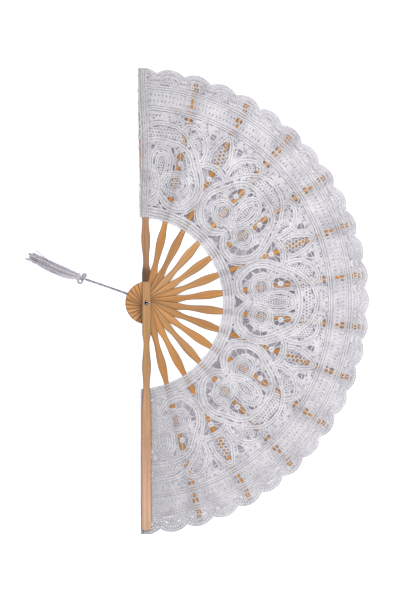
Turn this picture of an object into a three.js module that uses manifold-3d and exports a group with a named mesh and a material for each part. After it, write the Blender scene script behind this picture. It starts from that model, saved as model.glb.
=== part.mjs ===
// Folding hand fan, opened out flat: bamboo sticks on one rivet, a tape-lace leaf and a tassel.
// Millimetres. The rivet's axis is Z, the face of the leaf looks up +Z, and the middle of the
// open fan points along +X. The origin is the middle of the rivet cap's rear face.

import * as THREE from 'three';
import { mergeVertices } from 'three/addons/utils/BufferGeometryUtils.js';
import Module from 'manifold-3d';

const wasm = await Module();
wasm.setup();

const { degToRad, lerp, clamp } = THREE.MathUtils;

// Opening of the fan
const OPEN_ANGLE = degToRad(181);
const RIB_COUNT = 12;

// Rivet: a domed pin through every stick, pressed into a flat cap at the rear
const SHANK_RADIUS = 1.2;
const BORE_CLEARANCE = 0.15;
const DOME_RADIUS = 2.2;
const DOME_HEIGHT = 1.1;
const CAP_RADIUS = 2.6;
const CAP_THICKNESS = 0.9;
const CAP_EDGE_ROUND = 0.25;
const SOCKET_DEPTH = 0.5;
const SOCKET_CLEARANCE = 0.1;

// Cord and tassel
const CORD_DIAMETER = 1.3;
const CORD_CLEARANCE = 0.3;
const KNOT_LENGTH = 4.4;
const KNOT_RADIUS = 1.7;
const CURL_RADIUS = 1.8;
const SKIRT_LENGTH = 54;
const SKIRT_WIDTH = 12;
const SKIRT_DEPTH = 4.6;
const FLOOR_CLEARANCE = 0.1;

// Sticks, measured from the rivet axis outward
const HEAD_REACH = 19.8;
const HEAD_CORNER = 2.8;
const HEAD_END_SHARE = 0.35;
const SLIDING_GAP = 0.1;
const GUARD_THICKNESS = 2.2;
const FRONT_GUARD_EXTRA = 0.3;
const SLIP_THICKNESS = 0.5;
const GUARD_CHAMFER = 0.6;
const TIP_CORNER = 2;
const TIP_END_SHARE = 0.5;

// Stick outlines: overall width at each named place along the stick
const RIB_HEAD_WIDTH = 7;
const RIB_WAIST_WIDTH = 5;
const RIB_BELLY_WIDTH = 7.9;
const SLIP_WIDTH = 4.8;
const GUARD_HEAD_WIDTH = 8.1;
const GUARD_WAIST_WIDTH = 5.5;
const GUARD_BELLY_WIDTH = 8.3;
const GUARD_NECK_WIDTH = 6.2;
const GUARD_BLADE_WIDTH = 9;
const HEAD_ENDS_AT = 26;
const WAIST_AT = 38;
const BELLY_AT = 59;
const NECK_AT = 76;
const BLADE_AT = 104;

// Leaf: both edges are circles set a little behind the rivet, the outer one cut in scallops
const INNER_EDGE_RADIUS = 79.4;
const INNER_EDGE_CENTRE = new THREE.Vector2(-8.8, 0);
const OUTER_EDGE_RADIUS = 216.3;
const OUTER_EDGE_CENTRE = new THREE.Vector2(-10.2, 2.2);
const LEAF_THICKNESS = 0.35;
const GLUE_LINE = 0.05;
const GLUE_MARGIN = 0.8;
const HEM_OVERHANG = 0.9;
const FOLD_CLEARANCE = 0.3;
const STEP_CLEARANCE = 0.4;
const STEP_LENGTH = 1.6;
const SCALLOP_DEPTH = 4.4;
const SCALLOPS_PER_GORE = 2;
const TIP_MARGIN = 4.4;
const SEAM_TAPE = 1.1;
const BORDER_TAPE = 2.4;

const BAMBOO = [0xc29563, 0xcb9f6c, 0xb98a58];
const LACE = 0xe4e2e6;
const THREAD = 0xd0ced2;
const METAL = 0x2a2624;

const stickCount = RIB_COUNT + 2;
const goreCount = RIB_COUNT + 1;
const goreAngle = OPEN_ANGLE / goreCount;
const lastStick = stickCount - 1;
const boreRadius = SHANK_RADIUS + BORE_CLEARANCE;
const cordRadius = CORD_DIAMETER / 2;

// Heights. A rib's head is as thick as its slip with the leaf on it, so the fan closes flat.
const ribThickness = SLIP_THICKNESS + GLUE_LINE + LEAF_THICKNESS + SLIDING_GAP;
const stickPitch = ribThickness + SLIDING_GAP;
const cordSlot = CORD_DIAMETER + 2 * SLIDING_GAP;
const backGuardBase = CAP_THICKNESS + cordSlot;
const cordHeight = CAP_THICKNESS + cordSlot / 2;
const firstRibBase = backGuardBase + GUARD_THICKNESS + SLIDING_GAP;
const frontGuardBase = firstRibBase + RIB_COUNT * stickPitch;
const frontGuardThickness = GUARD_THICKNESS + FRONT_GUARD_EXTRA;
const domeBase = frontGuardBase + frontGuardThickness + SLIDING_GAP;
const backLeafLevel = firstRibBase - stickPitch + SLIP_THICKNESS + GLUE_LINE;

/** Direction of a stick, counted from the back guard; halves are the folds between sticks. */
function stickAngle(place) {
  return OPEN_ANGLE / 2 - place * goreAngle;
}

/** Height of the leaf's underside where it is glued to a stick. */
function leafLevel(stick) {
  return backLeafLevel + stick * stickPitch;
}

/** Distance from the rivet to a circle, looking out at an angle from +X. */
function reachOfCircle(centre, radius, angle) {
  const along = centre.x * Math.cos(angle) + centre.y * Math.sin(angle);
  const across = centre.x * Math.sin(angle) - centre.y * Math.cos(angle);
  return along + Math.sqrt(radius ** 2 - across ** 2);
}

function innerEdge(angle) {
  return reachOfCircle(INNER_EDGE_CENTRE, INNER_EDGE_RADIUS, angle);
}

function outerEdge(angle) {
  return reachOfCircle(OUTER_EDGE_CENTRE, OUTER_EDGE_RADIUS, angle);
}

/** The outer edge with its scallops, whose crests lie on the sticks and on the folds. */
function scallopedEdge(angle) {
  const place = (OPEN_ANGLE / 2 - angle) / goreAngle * SCALLOPS_PER_GORE;
  const fromCrest = 2 * Math.abs(place - Math.round(place));
  return outerEdge(angle) - SCALLOP_DEPTH * fromCrest ** 2;
}

function polar(radius, angle) {
  return new THREE.Vector2(radius * Math.cos(angle), radius * Math.sin(angle));
}

/** A place on the leaf: gores from the back guard, and 0 to 1 from inner to outer edge. */
function leafPoint(place, depth) {
  const angle = stickAngle(place);
  return polar(lerp(innerEdge(angle), outerEdge(angle), depth), angle);
}

// Solids and cuts

/** The geometry as a solid that can be cut and joined. */
function solidOf(geometry) {
  geometry.deleteAttribute('normal');
  geometry.deleteAttribute('uv');
  const merged = mergeVertices(geometry, 1e-4);
  return new wasm.Manifold(new wasm.Mesh({
    numProp: 3,
    vertProperties: new Float32Array(merged.attributes.position.array),
    triVerts: new Uint32Array(merged.index.array),
  }));
}

function geometryOf(solid) {
  const mesh = solid.getMesh();
  const geometry = new THREE.BufferGeometry();
  geometry.setAttribute('position', new THREE.BufferAttribute(mesh.vertProperties, 3));
  geometry.setIndex(new THREE.BufferAttribute(mesh.triVerts, 1));
  return geometry;
}

function prism(outline, bottom, height) {
  const geometry = new THREE.ExtrudeGeometry(new THREE.Shape(outline), {
    depth: height, bevelEnabled: false,
  });
  return solidOf(geometry.translate(0, 0, bottom));
}

/** A closed body through rings of equally many points, each ring listed the same way round. */
function loft(rings) {
  const count = rings[0].length;
  const points = rings.flat();
  const faces = [];
  for (let ring = 0; ring + 1 < rings.length; ring += 1) {
    for (let k = 0; k < count; k += 1) {
      const a = ring * count + k;
      const b = ring * count + (k + 1) % count;
      faces.push(a, b, b + count, a, b + count, a + count);
    }
  }
  const last = (rings.length - 1) * count;
  for (let k = 1; k + 1 < count; k += 1) {
    faces.push(0, k + 1, k);
    faces.push(last, last + k, last + k + 1);
  }
  const geometry = new THREE.BufferGeometry().setFromPoints(points);
  geometry.setIndex(faces);
  return geometry;
}

// Sticks

/** Width along a stick, eased smoothly from each named place to the next. */
function widthAt(places, reach) {
  const next = places.findIndex((place) => place.at > reach);
  if (next < 0) {
    return places[places.length - 1].width;
  }
  if (next === 0) {
    return places[0].width;
  }
  const [from, to] = [places[next - 1], places[next]];
  const share = (reach - from.at) / (to.at - from.at);
  return lerp(from.width, to.width, (1 - Math.cos(Math.PI * share)) / 2);
}

/** Distances from the rivet at which a stick's outline is given. */
function stationsAlong(places, stepAt, tip) {
  const stations = [];
  const cornerSteps = 4;
  for (let k = 0; k <= cornerSteps; k += 1) {
    stations.push(-HEAD_REACH + HEAD_CORNER * (1 - Math.cos((Math.PI / 2) * (k / cornerSteps))));
  }
  const easeSteps = 5;
  for (let k = 0; k + 1 < places.length; k += 1) {
    const flat = places[k].width === places[k + 1].width;
    const steps = flat ? 1 : easeSteps;
    for (let j = 0; j < steps; j += 1) {
      stations.push(lerp(places[k].at, places[k + 1].at, j / steps));
    }
  }
  stations.push(places[places.length - 1].at);
  stations.push(stepAt - STEP_LENGTH, stepAt);
  stations.push(tip - TIP_CORNER, tip - TIP_CORNER * 0.4, tip);
  const sorted = stations.filter((reach) => reach <= tip).sort((a, b) => a - b);
  const closest = 0.3;
  return sorted.filter((reach, k) => k === 0 || reach - sorted[k - 1] > closest || reach === tip);
}

/** Share of the full width that the rounded head end and tip leave at a distance. */
function endRounding(reach, tip) {
  const intoHead = clamp((reach + HEAD_REACH) / HEAD_CORNER, 0, 1);
  const intoTip = clamp((tip - reach) / TIP_CORNER, 0, 1);
  const head = lerp(HEAD_END_SHARE, 1, Math.sqrt(1 - (1 - intoHead) ** 2));
  const end = lerp(TIP_END_SHARE, 1, Math.sqrt(1 - (1 - intoTip) ** 2));
  return Math.min(head, end);
}

/** 0 in the bare part of a stick, 1 where it is thinned beneath or above the leaf. */
function thinning(reach, stepAt) {
  return clamp((reach - stepAt + STEP_LENGTH) / STEP_LENGTH, 0, 1);
}

/** A stick along +X with its bore on the Z axis; thickness runs from bottom(r) to top(r). */
function stick({ places, tip, stepAt, bottom, top, chamfer }) {
  const rings = stationsAlong(places, stepAt, tip).map((reach) => {
    const half = widthAt(places, reach) / 2 * endRounding(reach, tip);
    const [low, high] = [bottom(reach), top(reach)];
    if (!chamfer) {
      return [[-half, low], [half, low], [half, high], [-half, high]]
        .map(([y, z]) => new THREE.Vector3(reach, y, z));
    }
    const edge = Math.min(chamfer, half / 2);
    const shoulder = high - edge * 0.7;
    return [
      [-half, low], [half, low], [half, shoulder],
      [half - edge, high], [-half + edge, high], [-half, shoulder],
    ].map(([y, z]) => new THREE.Vector3(reach, y, z));
  });
  const boreSides = 20;
  const boreLength = 40 * ribThickness;
  const bore = new THREE.CylinderGeometry(boreRadius, boreRadius, boreLength, boreSides);
  return geometryOf(solidOf(loft(rings)).subtract(solidOf(bore.rotateX(Math.PI / 2))));
}

/** Where a stick is thinned for the leaf, and how far it reaches under the leaf's border. */
function stickSpan(index) {
  const angle = stickAngle(index);
  return { stepAt: innerEdge(angle) - STEP_CLEARANCE, tip: outerEdge(angle) - TIP_MARGIN };
}

function ribPlaces() {
  return [
    { at: HEAD_CORNER - HEAD_REACH, width: RIB_HEAD_WIDTH },
    { at: HEAD_ENDS_AT, width: RIB_HEAD_WIDTH },
    { at: WAIST_AT, width: RIB_WAIST_WIDTH },
    { at: BELLY_AT, width: RIB_BELLY_WIDTH },
    { at: NECK_AT, width: SLIP_WIDTH },
  ];
}

function guardPlaces() {
  return [
    { at: HEAD_CORNER - HEAD_REACH, width: GUARD_HEAD_WIDTH },
    { at: HEAD_ENDS_AT, width: GUARD_HEAD_WIDTH },
    { at: WAIST_AT, width: GUARD_WAIST_WIDTH },
    { at: BELLY_AT, width: GUARD_BELLY_WIDTH },
    { at: NECK_AT, width: GUARD_NECK_WIDTH },
    { at: BLADE_AT, width: GUARD_BLADE_WIDTH },
  ];
}

function rib(index) {
  const { stepAt, tip } = stickSpan(index);
  const thinned = ribThickness - SLIP_THICKNESS;
  return stick({
    places: ribPlaces(),
    tip,
    stepAt,
    bottom: () => 0,
    top: (reach) => ribThickness - thinned * thinning(reach, stepAt),
  });
}

/** The guard behind the leaf, lowered on its upper face where the leaf is glued. */
function backGuard() {
  const { stepAt, tip } = stickSpan(0);
  const thinned = backGuardBase + GUARD_THICKNESS - backLeafLevel + GLUE_LINE;
  return stick({
    places: guardPlaces(),
    tip,
    stepAt,
    bottom: () => 0,
    top: (reach) => GUARD_THICKNESS - thinned * thinning(reach, stepAt),
    chamfer: GUARD_CHAMFER,
  });
}

/** The guard over the leaf, relieved on its underside to take the end of the leaf. */
function frontGuard() {
  const { stepAt, tip } = stickSpan(lastStick);
  const relief = leafLevel(lastStick) + LEAF_THICKNESS + GLUE_LINE - frontGuardBase;
  return stick({
    places: guardPlaces(),
    tip,
    stepAt,
    bottom: (reach) => relief * thinning(reach, stepAt),
    top: () => frontGuardThickness,
    chamfer: GUARD_CHAMFER,
  });
}

// Leaf: each gore is folded down its middle, and glued along the stick on its left

/** A straight border: a line beside a stick or fold, offset to its left as seen from the rivet. */
function border(place, offset) {
  return { angle: stickAngle(place), offset };
}

function borderAngle(line, radius) {
  return line.angle + Math.asin(line.offset / radius);
}

/** The direction in which a border meets an edge of the leaf. */
function meeting(line, edge) {
  let angle = line.angle;
  for (let pass = 0; pass < 4; pass += 1) {
    angle = borderAngle(line, edge(angle));
  }
  return angle;
}

/** Outline of the leaf between two borders, drawn in by a tape's width where asked. */
function panelOutline(left, right, { seam = 0, tape = 0 } = {}) {
  const from = { ...left, offset: left.offset - seam };
  const to = { ...right, offset: right.offset + seam };
  const inner = (angle) => innerEdge(angle) + tape;
  const outer = (angle) => scallopedEdge(angle) - tape;
  const points = [];
  const innerSteps = 3;
  const [innerFrom, innerTo] = [meeting(from, inner), meeting(to, inner)];
  for (let k = 0; k <= innerSteps; k += 1) {
    const angle = lerp(innerFrom, innerTo, k / innerSteps);
    points.push(polar(inner(angle), angle));
  }
  const [outerFrom, outerTo] = [meeting(from, outer), meeting(to, outer)];
  const stepsPerScallop = 6;
  const step = goreAngle / SCALLOPS_PER_GORE / stepsPerScallop;
  const first = Math.ceil((OPEN_ANGLE / 2 - outerFrom) / step + 0.2);
  const last = Math.floor((OPEN_ANGLE / 2 - outerTo) / step - 0.2);
  points.push(polar(outer(outerTo), outerTo));
  for (let k = last; k >= first; k -= 1) {
    const angle = OPEN_ANGLE / 2 - k * step;
    points.push(polar(outer(angle), angle));
  }
  points.push(polar(outer(outerFrom), outerFrom));
  return points.reverse();
}

// Openings of the lace, in gores across and 0 to 1 from the inner edge to the outer

/** A rounded opening through a few places; u counts gores from the motif's middle. */
function roundedOpening(middle, places, steps) {
  const corners = places.map(([u, depth]) => {
    const point = leafPoint(middle + u, depth);
    return new THREE.Vector3(point.x, point.y, 0);
  });
  const curve = new THREE.CatmullRomCurve3(corners, true, 'centripetal');
  return curve.getSpacedPoints(steps).slice(0, -1).map((p) => new THREE.Vector2(p.x, p.y));
}

/** A window between two rings of tape. */
function windowOpening(from, to, low, high) {
  const steps = 2;
  const points = [];
  for (let k = 0; k <= steps; k += 1) {
    points.push(leafPoint(lerp(from, to, k / steps), low));
  }
  for (let k = steps; k >= 0; k -= 1) {
    points.push(leafPoint(lerp(from, to, k / steps), high));
  }
  return points;
}

/** Half-moon under a scallop. */
function moonOpening(place) {
  const [half, low, high] = [0.19, 0.905, 0.962];
  const places = [[-half, low], [0, low], [half, low], [half * 0.7, 0.945], [0, high], [-half * 0.7, 0.945]];
  return places.map(([u, depth]) => leafPoint(place + u, depth));
}

/** Crescent windows between the trefoil's scroll and its side ovals, parted by worked bars. */
function barredCrescent(middle, side) {
  const [centreU, centreDepth] = [0.535, 0.268];
  const [halfU, halfDepth] = [0.58, 0.112];
  const bars = [[14, -22], [-27, -58], [-63, -92], [-97, -122]];
  return bars.map(([from, to]) => {
    const rim = (scale, degrees) => {
      const turn = degToRad(degrees);
      const u = centreU + halfU * scale * Math.cos(turn);
      return leafPoint(middle + side * u, centreDepth + halfDepth * scale * Math.sin(turn));
    };
    const [inside, outside] = [0.92, 1.08];
    const half = (from + to) / 2;
    return [
      rim(inside, from), rim(inside, half), rim(inside, to),
      rim(outside, to), rim(outside, half), rim(outside, from),
    ];
  });
}

/** Openings of a trefoil scroll, whose middle lies on a fold. */
function trefoilOpenings(middle) {
  const openings = [
    roundedOpening(middle, [[0, 0.405], [0.115, 0.36], [0, 0.315], [-0.115, 0.36]], 8),
    roundedOpening(middle, [[-0.24, 0.094], [0, 0.09], [0.24, 0.094], [0, 0.14]], 8),
  ];
  for (const side of [-1, 1]) {
    const mirrored = (places) => places.map(([u, depth]) => [side * u, depth]);
    openings.push(roundedOpening(
      middle, mirrored([[0.34, 0.46], [0.55, 0.482], [0.8, 0.385], [0.58, 0.348], [0.4, 0.4]]), 10,
    ));
    openings.push(roundedOpening(
      middle, mirrored([[0.36, 0.262], [0.53, 0.302], [0.7, 0.262], [0.53, 0.226]]), 8,
    ));
    openings.push(windowOpening(middle + side * 0.05, middle + side * 0.44, 0.568, 0.607));
    openings.push(...barredCrescent(middle, side));
  }
  return openings;
}

/** Openings of a palmette, whose middle lies on a stick. */
function palmetteOpenings(middle) {
  const openings = [
    roundedOpening(middle, [[0, 0.655], [0.12, 0.59], [0.14, 0.51], [-0.14, 0.51], [-0.12, 0.59]], 10),
    roundedOpening(middle, [[0, 0.285], [0.34, 0.428], [0, 0.44], [-0.34, 0.428]], 10),
    roundedOpening(middle, [[0, 0.17], [0.34, 0.08], [0, 0.078], [-0.34, 0.08]], 10),
  ];
  for (const side of [-1, 1]) {
    const petal = [[0.52, 0.505], [0.6, 0.575], [0.86, 0.63], [0.82, 0.565], [0.68, 0.51]];
    openings.push(roundedOpening(middle, petal.map(([u, depth]) => [side * u, depth]), 10));
  }
  return openings;
}

const MOTIF_REPEAT = 3;
const FIRST_TREFOIL = 0.5;
const FIRST_PALMETTE = 2;

function laceOpenings() {
  const openings = [];
  for (let middle = FIRST_TREFOIL; middle < goreCount; middle += MOTIF_REPEAT) {
    openings.push(...trefoilOpenings(middle));
  }
  for (let middle = FIRST_PALMETTE; middle < goreCount; middle += MOTIF_REPEAT) {
    openings.push(...palmetteOpenings(middle));
  }
  const [ringLow, ringHigh] = [0.771, 0.84];
  for (let place = 0; place <= goreCount; place += 1 / SCALLOPS_PER_GORE) {
    openings.push(moonOpening(place));
    openings.push(windowOpening(place, place + 1 / SCALLOPS_PER_GORE, ringLow, ringHigh));
  }
  return openings;
}

const openings = laceOpenings();

/** The leaf between two borders as a thin sheet at height(x, y), with its openings. */
function lacePanel(left, right, height) {
  const proud = 1;
  const flat = prism(panelOutline(left, right), 0, LEAF_THICKNESS);
  const inset = panelOutline(left, right, { seam: SEAM_TAPE, tape: BORDER_TAPE });
  const frame = prism(inset, -proud, LEAF_THICKNESS + 2 * proud);
  const near = new THREE.Box2().setFromPoints(inset);
  const cutters = openings
    .filter((points) => new THREE.Box2().setFromPoints(points).intersectsBox(near))
    .map((points) => prism(wound(points), -proud, LEAF_THICKNESS + 2 * proud));
  const cut = wasm.Manifold.union(cutters).intersect(frame);
  return raisedSheet(flat.subtract(cut), height);
}

/** Points of an outline, listed counter-clockwise. */
function wound(points) {
  return THREE.ShapeUtils.isClockWise(points) ? [...points].reverse() : points;
}

/** A flat plate's upper face, lifted to a height and given the leaf's thickness again. */
function raisedSheet(plate, height) {
  const { vertProperties, triVerts } = plate.getMesh();
  const upper = (vertex) => vertProperties[vertex * 3 + 2] > LEAF_THICKNESS / 2;
  const renumbered = new Map();
  const points = [];
  const take = (vertex) => {
    if (!renumbered.has(vertex)) {
      const [x, y] = vertProperties.subarray(vertex * 3, vertex * 3 + 2);
      renumbered.set(vertex, points.length);
      const z = height(x, y);
      points.push(new THREE.Vector3(x, y, z), new THREE.Vector3(x, y, z + LEAF_THICKNESS));
    }
    return renumbered.get(vertex);
  };
  const faces = [];
  const edges = new Set();
  for (let k = 0; k < triVerts.length; k += 3) {
    const corners = [...triVerts.subarray(k, k + 3)];
    if (corners.every(upper)) {
      const [a, b, c] = corners.map(take);
      faces.push(a + 1, b + 1, c + 1, a, c, b);
      edges.add(`${a},${b}`).add(`${b},${c}`).add(`${c},${a}`);
    }
  }
  for (const edge of edges) {
    const [a, b] = edge.split(',').map(Number);
    if (!edges.has(`${b},${a}`)) {
      faces.push(a, b, b + 1, a, b + 1, a + 1);
    }
  }
  const geometry = new THREE.BufferGeometry().setFromPoints(points);
  geometry.setIndex(faces);
  return geometry;
}

/** Half the width of leaf that is glued to a stick. */
function gluedHalf(index) {
  const isGuard = index === 0 || index === lastStick;
  return (isGuard ? GUARD_BLADE_WIDTH : SLIP_WIDTH) / 2 + GLUE_MARGIN;
}

function hemOffset() {
  return GUARD_BLADE_WIDTH / 2 + HEM_OVERHANG;
}

/** The half of a gore that is glued to its stick and lies level, out to the fold. */
function gluedHalfGore(index) {
  const offset = index === 0 ? hemOffset() : gluedHalf(index);
  const level = leafLevel(index);
  return lacePanel(border(index, offset), border(index + 0.5, FOLD_CLEARANCE / 2), () => level);
}

/** The half of a gore that climbs from the fold to the next stick. */
function foldingHalfGore(index) {
  const fold = border(index + 0.5, -FOLD_CLEARANCE / 2);
  const end = border(index + 1, gluedHalf(index + 1) + FOLD_CLEARANCE);
  const height = (x, y) => {
    const radius = Math.hypot(x, y);
    const [start, stop] = [borderAngle(fold, radius), borderAngle(end, radius)];
    const share = (start - Math.atan2(y, x)) / (start - stop);
    return leafLevel(index) + stickPitch * clamp(share, 0, 1);
  };
  return lacePanel(fold, end, height);
}

/** The hemmed end of the leaf, glued beneath the front guard. */
function endHem() {
  const level = leafLevel(lastStick);
  return lacePanel(border(lastStick, gluedHalf(lastStick)), border(lastStick, -hemOffset()), () => level);
}

// Rivet

function turned(profile, sides) {
  const points = profile.map(([radius, z]) => new THREE.Vector2(radius, z));
  return new THREE.LatheGeometry(points, sides).rotateX(Math.PI / 2);
}

function rivetPin() {
  const pinEnd = CAP_THICKNESS - SOCKET_DEPTH + SOCKET_CLEARANCE;
  const profile = [[0, pinEnd], [SHANK_RADIUS, pinEnd], [SHANK_RADIUS, domeBase], [DOME_RADIUS, domeBase]];
  const domeSteps = 6;
  for (let k = 1; k <= domeSteps; k += 1) {
    const turn = (Math.PI / 2) * (k / domeSteps);
    const radius = k === domeSteps ? 0 : DOME_RADIUS * Math.cos(turn);
    profile.push([radius, domeBase + DOME_HEIGHT * Math.sin(turn)]);
  }
  return turned(profile, 24);
}

function rivetCap() {
  const socketRadius = SHANK_RADIUS + SOCKET_CLEARANCE;
  const socketFloor = CAP_THICKNESS - SOCKET_DEPTH;
  return turned([
    [0, 0],
    [CAP_RADIUS - CAP_EDGE_ROUND, 0],
    [CAP_RADIUS, CAP_EDGE_ROUND],
    [CAP_RADIUS, CAP_THICKNESS],
    [socketRadius, CAP_THICKNESS],
    [socketRadius, socketFloor],
    [0, socketFloor],
  ], 24);
}

// Cord and tassel, lying on the table beside the fan

// Places on the cord from the rivet's eye to the knot
const CORD_ROUTE = [
  [-5.4, 2.6, 1.65], [-8.4, 4.1, 1.55], [-12.6, 6.2, 1.3], [-18.3, 8.6, 1.0], [-23.4, 10.6, 0.8],
  [-28.6, 12.4, 0.75], [-33, 14.1, 0.75], [-37.1, 15.5, 0.75], [-41.4, 17.1, 0.75], [-45.5, 18.5, 0.75],
  [-49.8, 20, 0.75], [-53.9, 21.4, 0.8], [-57.2, 22.6, 1.1],
].map((place) => new THREE.Vector3(...place));

const EYE_RADIUS = SHANK_RADIUS + CORD_CLEARANCE + cordRadius;
const cordEnd = CORD_ROUTE[CORD_ROUTE.length - 1];
const TASSEL_DIRECTION = degToRad(158.8);
const tasselAxis = new THREE.Vector3(Math.cos(TASSEL_DIRECTION), Math.sin(TASSEL_DIRECTION), 0);
const tasselSide = new THREE.Vector3(-tasselAxis.y, tasselAxis.x, 0);

/** The eye of the cord round the rivet, between the cap and the back guard. */
function cordEye() {
  const sides = 8;
  const profile = [];
  for (let k = 0; k <= sides; k += 1) {
    const turn = 2 * Math.PI * (k / sides);
    profile.push([EYE_RADIUS + cordRadius * Math.cos(turn), cordHeight + cordRadius * Math.sin(turn)]);
  }
  return turned(profile, 20);
}

function cordSection() {
  const sides = 8;
  const points = [];
  for (let k = 0; k < sides; k += 1) {
    points.push(polar(cordRadius, 2 * Math.PI * (k + 0.5) / sides));
  }
  return new THREE.Shape(points);
}

function tube(curve, steps) {
  return new THREE.ExtrudeGeometry(cordSection(), { steps, extrudePath: curve, bevelEnabled: false });
}

function tasselCord() {
  const away = new THREE.Vector3(CORD_ROUTE[0].x, CORD_ROUTE[0].y, 0).normalize();
  const start = away.multiplyScalar(EYE_RADIUS + cordRadius + CORD_CLEARANCE).setZ(cordHeight);
  return tube(new THREE.CatmullRomCurve3([start, ...CORD_ROUTE]), 24);
}

/** A point of the tassel: along its axis from the cord's end, to its left, and above the table. */
function tasselPoint(along, aside, height) {
  const place = new THREE.Vector3(cordEnd.x, cordEnd.y, height);
  return place.addScaledVector(tasselAxis, along).addScaledVector(tasselSide, aside);
}

/** The wrapped knot, with a small curl of cord standing out on each side. */
function tasselKnot() {
  const height = KNOT_RADIUS + FLOOR_CLEARANCE;
  const start = CORD_CLEARANCE;
  const rings = [];
  const steps = 12;
  const sides = 12;
  const wraps = 3;
  for (let k = 0; k <= steps; k += 1) {
    const share = k / steps;
    const belly = lerp(0.55, 1, Math.sin(Math.PI * share));
    const radius = KNOT_RADIUS * belly * (0.93 + 0.07 * Math.cos(2 * Math.PI * wraps * share));
    const ring = [];
    for (let j = 0; j < sides; j += 1) {
      const turn = 2 * Math.PI * (j / sides);
      ring.push(tasselPoint(
        start + share * KNOT_LENGTH, radius * Math.cos(turn), height + radius * Math.sin(turn),
      ));
    }
    rings.push(ring);
  }
  const curls = [-1, 1].map((side) => solidOf(knotCurl(side, start + KNOT_LENGTH / 2)));
  return geometryOf(wasm.Manifold.union([solidOf(loft(rings)), ...curls]));
}

/** One curl of the knot: most of a turn of cord that starts and ends inside the knot. */
function knotCurl(side, along) {
  const middle = side * (KNOT_RADIUS + CURL_RADIUS * 0.8);
  const height = cordRadius + FLOOR_CLEARANCE;
  const places = [];
  const steps = 10;
  for (let k = 0; k <= steps; k += 1) {
    const turn = degToRad(lerp(-150, 150, k / steps));
    const lean = side * CURL_RADIUS * 0.5;
    places.push(tasselPoint(
      along + lean + CURL_RADIUS * Math.sin(turn), middle + side * CURL_RADIUS * Math.cos(turn), height,
    ));
  }
  return tube(new THREE.CatmullRomCurve3(places), 16);
}

/** The skirt of threads: a flat fluted body that swells below the knot and frays at its ends. */
function tasselSkirt() {
  const start = KNOT_LENGTH + 2 * CORD_CLEARANCE;
  const swell = new THREE.CatmullRomCurve3([
    new THREE.Vector3(0, 0.2, 0.5), new THREE.Vector3(0.12, 0.5, 0.75), new THREE.Vector3(0.45, 1, 1),
    new THREE.Vector3(0.8, 0.92, 0.8), new THREE.Vector3(1, 0.74, 0.42),
  ]);
  const steps = 8;
  const sides = 18;
  const flutes = 6;
  const fray = 4;
  const fluteDepth = 0.09;
  const rings = [];
  for (let k = 0; k <= steps; k += 1) {
    const { x: share, y: width, z: depth } = swell.getPoint(k / steps);
    const halfWidth = SKIRT_WIDTH / 2 * width / (1 + fluteDepth);
    const halfDepth = SKIRT_DEPTH / 2 * depth / (1 + fluteDepth);
    const ring = [];
    for (let j = 0; j < sides; j += 1) {
      const turn = 2 * Math.PI * (j / sides);
      const flute = 1 + fluteDepth * Math.cos(flutes * turn);
      const ragged = k === steps ? -fray * (1 + Math.cos(flutes * turn + 1)) / 2 : 0;
      ring.push(tasselPoint(
        start + share * SKIRT_LENGTH + ragged,
        halfWidth * flute * Math.cos(turn),
        FLOOR_CLEARANCE + halfDepth * (1 + fluteDepth) + halfDepth * flute * Math.sin(turn),
      ));
    }
    rings.push(ring);
  }
  return loft(rings);
}

// Assembly

function mesh(name, geometry, color, roughness, metalness = 0) {
  const part = new THREE.Mesh(geometry, new THREE.MeshStandardMaterial({ color, roughness, metalness }));
  part.name = name;
  return part;
}

function numbered(index) {
  return String(index).padStart(2, '0');
}

function bamboo(name, geometry, index, base) {
  const part = mesh(name, geometry, BAMBOO[index % BAMBOO.length], 0.55);
  part.position.z = base;
  part.rotation.z = stickAngle(index);
  return part;
}

function sticks() {
  const group = new THREE.Group();
  group.add(bamboo('back_guard', backGuard(), 0, backGuardBase));
  for (let index = 1; index <= RIB_COUNT; index += 1) {
    const base = firstRibBase + (index - 1) * stickPitch;
    group.add(bamboo(`rib_${numbered(index)}`, rib(index), index, base));
  }
  group.add(bamboo('front_guard', frontGuard(), lastStick, frontGuardBase));
  return group;
}

function leaf() {
  const group = new THREE.Group();
  for (let index = 0; index < goreCount; index += 1) {
    const name = `gore_${numbered(index + 1)}`;
    group.add(mesh(`${name}_glued`, gluedHalfGore(index), LACE, 0.9));
    group.add(mesh(`${name}_fold`, foldingHalfGore(index), LACE, 0.9));
  }
  group.add(mesh('leaf_end_hem', endHem(), LACE, 0.9));
  return group;
}

function rivet() {
  const group = new THREE.Group();
  group.add(mesh('rivet_pin', rivetPin(), METAL, 0.25, 1));
  group.add(mesh('rivet_cap', rivetCap(), METAL, 0.35, 1));
  return group;
}

function tassel() {
  const group = new THREE.Group();
  group.add(mesh('cord_eye', cordEye(), THREAD, 0.85));
  group.add(mesh('tassel_cord', tasselCord(), THREAD, 0.85));
  group.add(mesh('tassel_knot', tasselKnot(), THREAD, 0.85));
  group.add(mesh('tassel_skirt', tasselSkirt(), THREAD, 0.85));
  return group;
}

const fan = new THREE.Group();
fan.add(sticks(), leaf(), rivet(), tassel());

export default fan;
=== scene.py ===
"""Folding hand fan laid open on a table: bamboo sticks, a tape-lace leaf, a rivet and a tassel.

Sizes are in millimetres in the fan's own frame: the rivet's axis is Z and the middle of the
open fan points along +X. Meshes are scaled to metres when they are made.
"""

import logging
import math
import random
from collections.abc import Callable, Sequence
from dataclasses import dataclass, field
from enum import Enum

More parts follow.
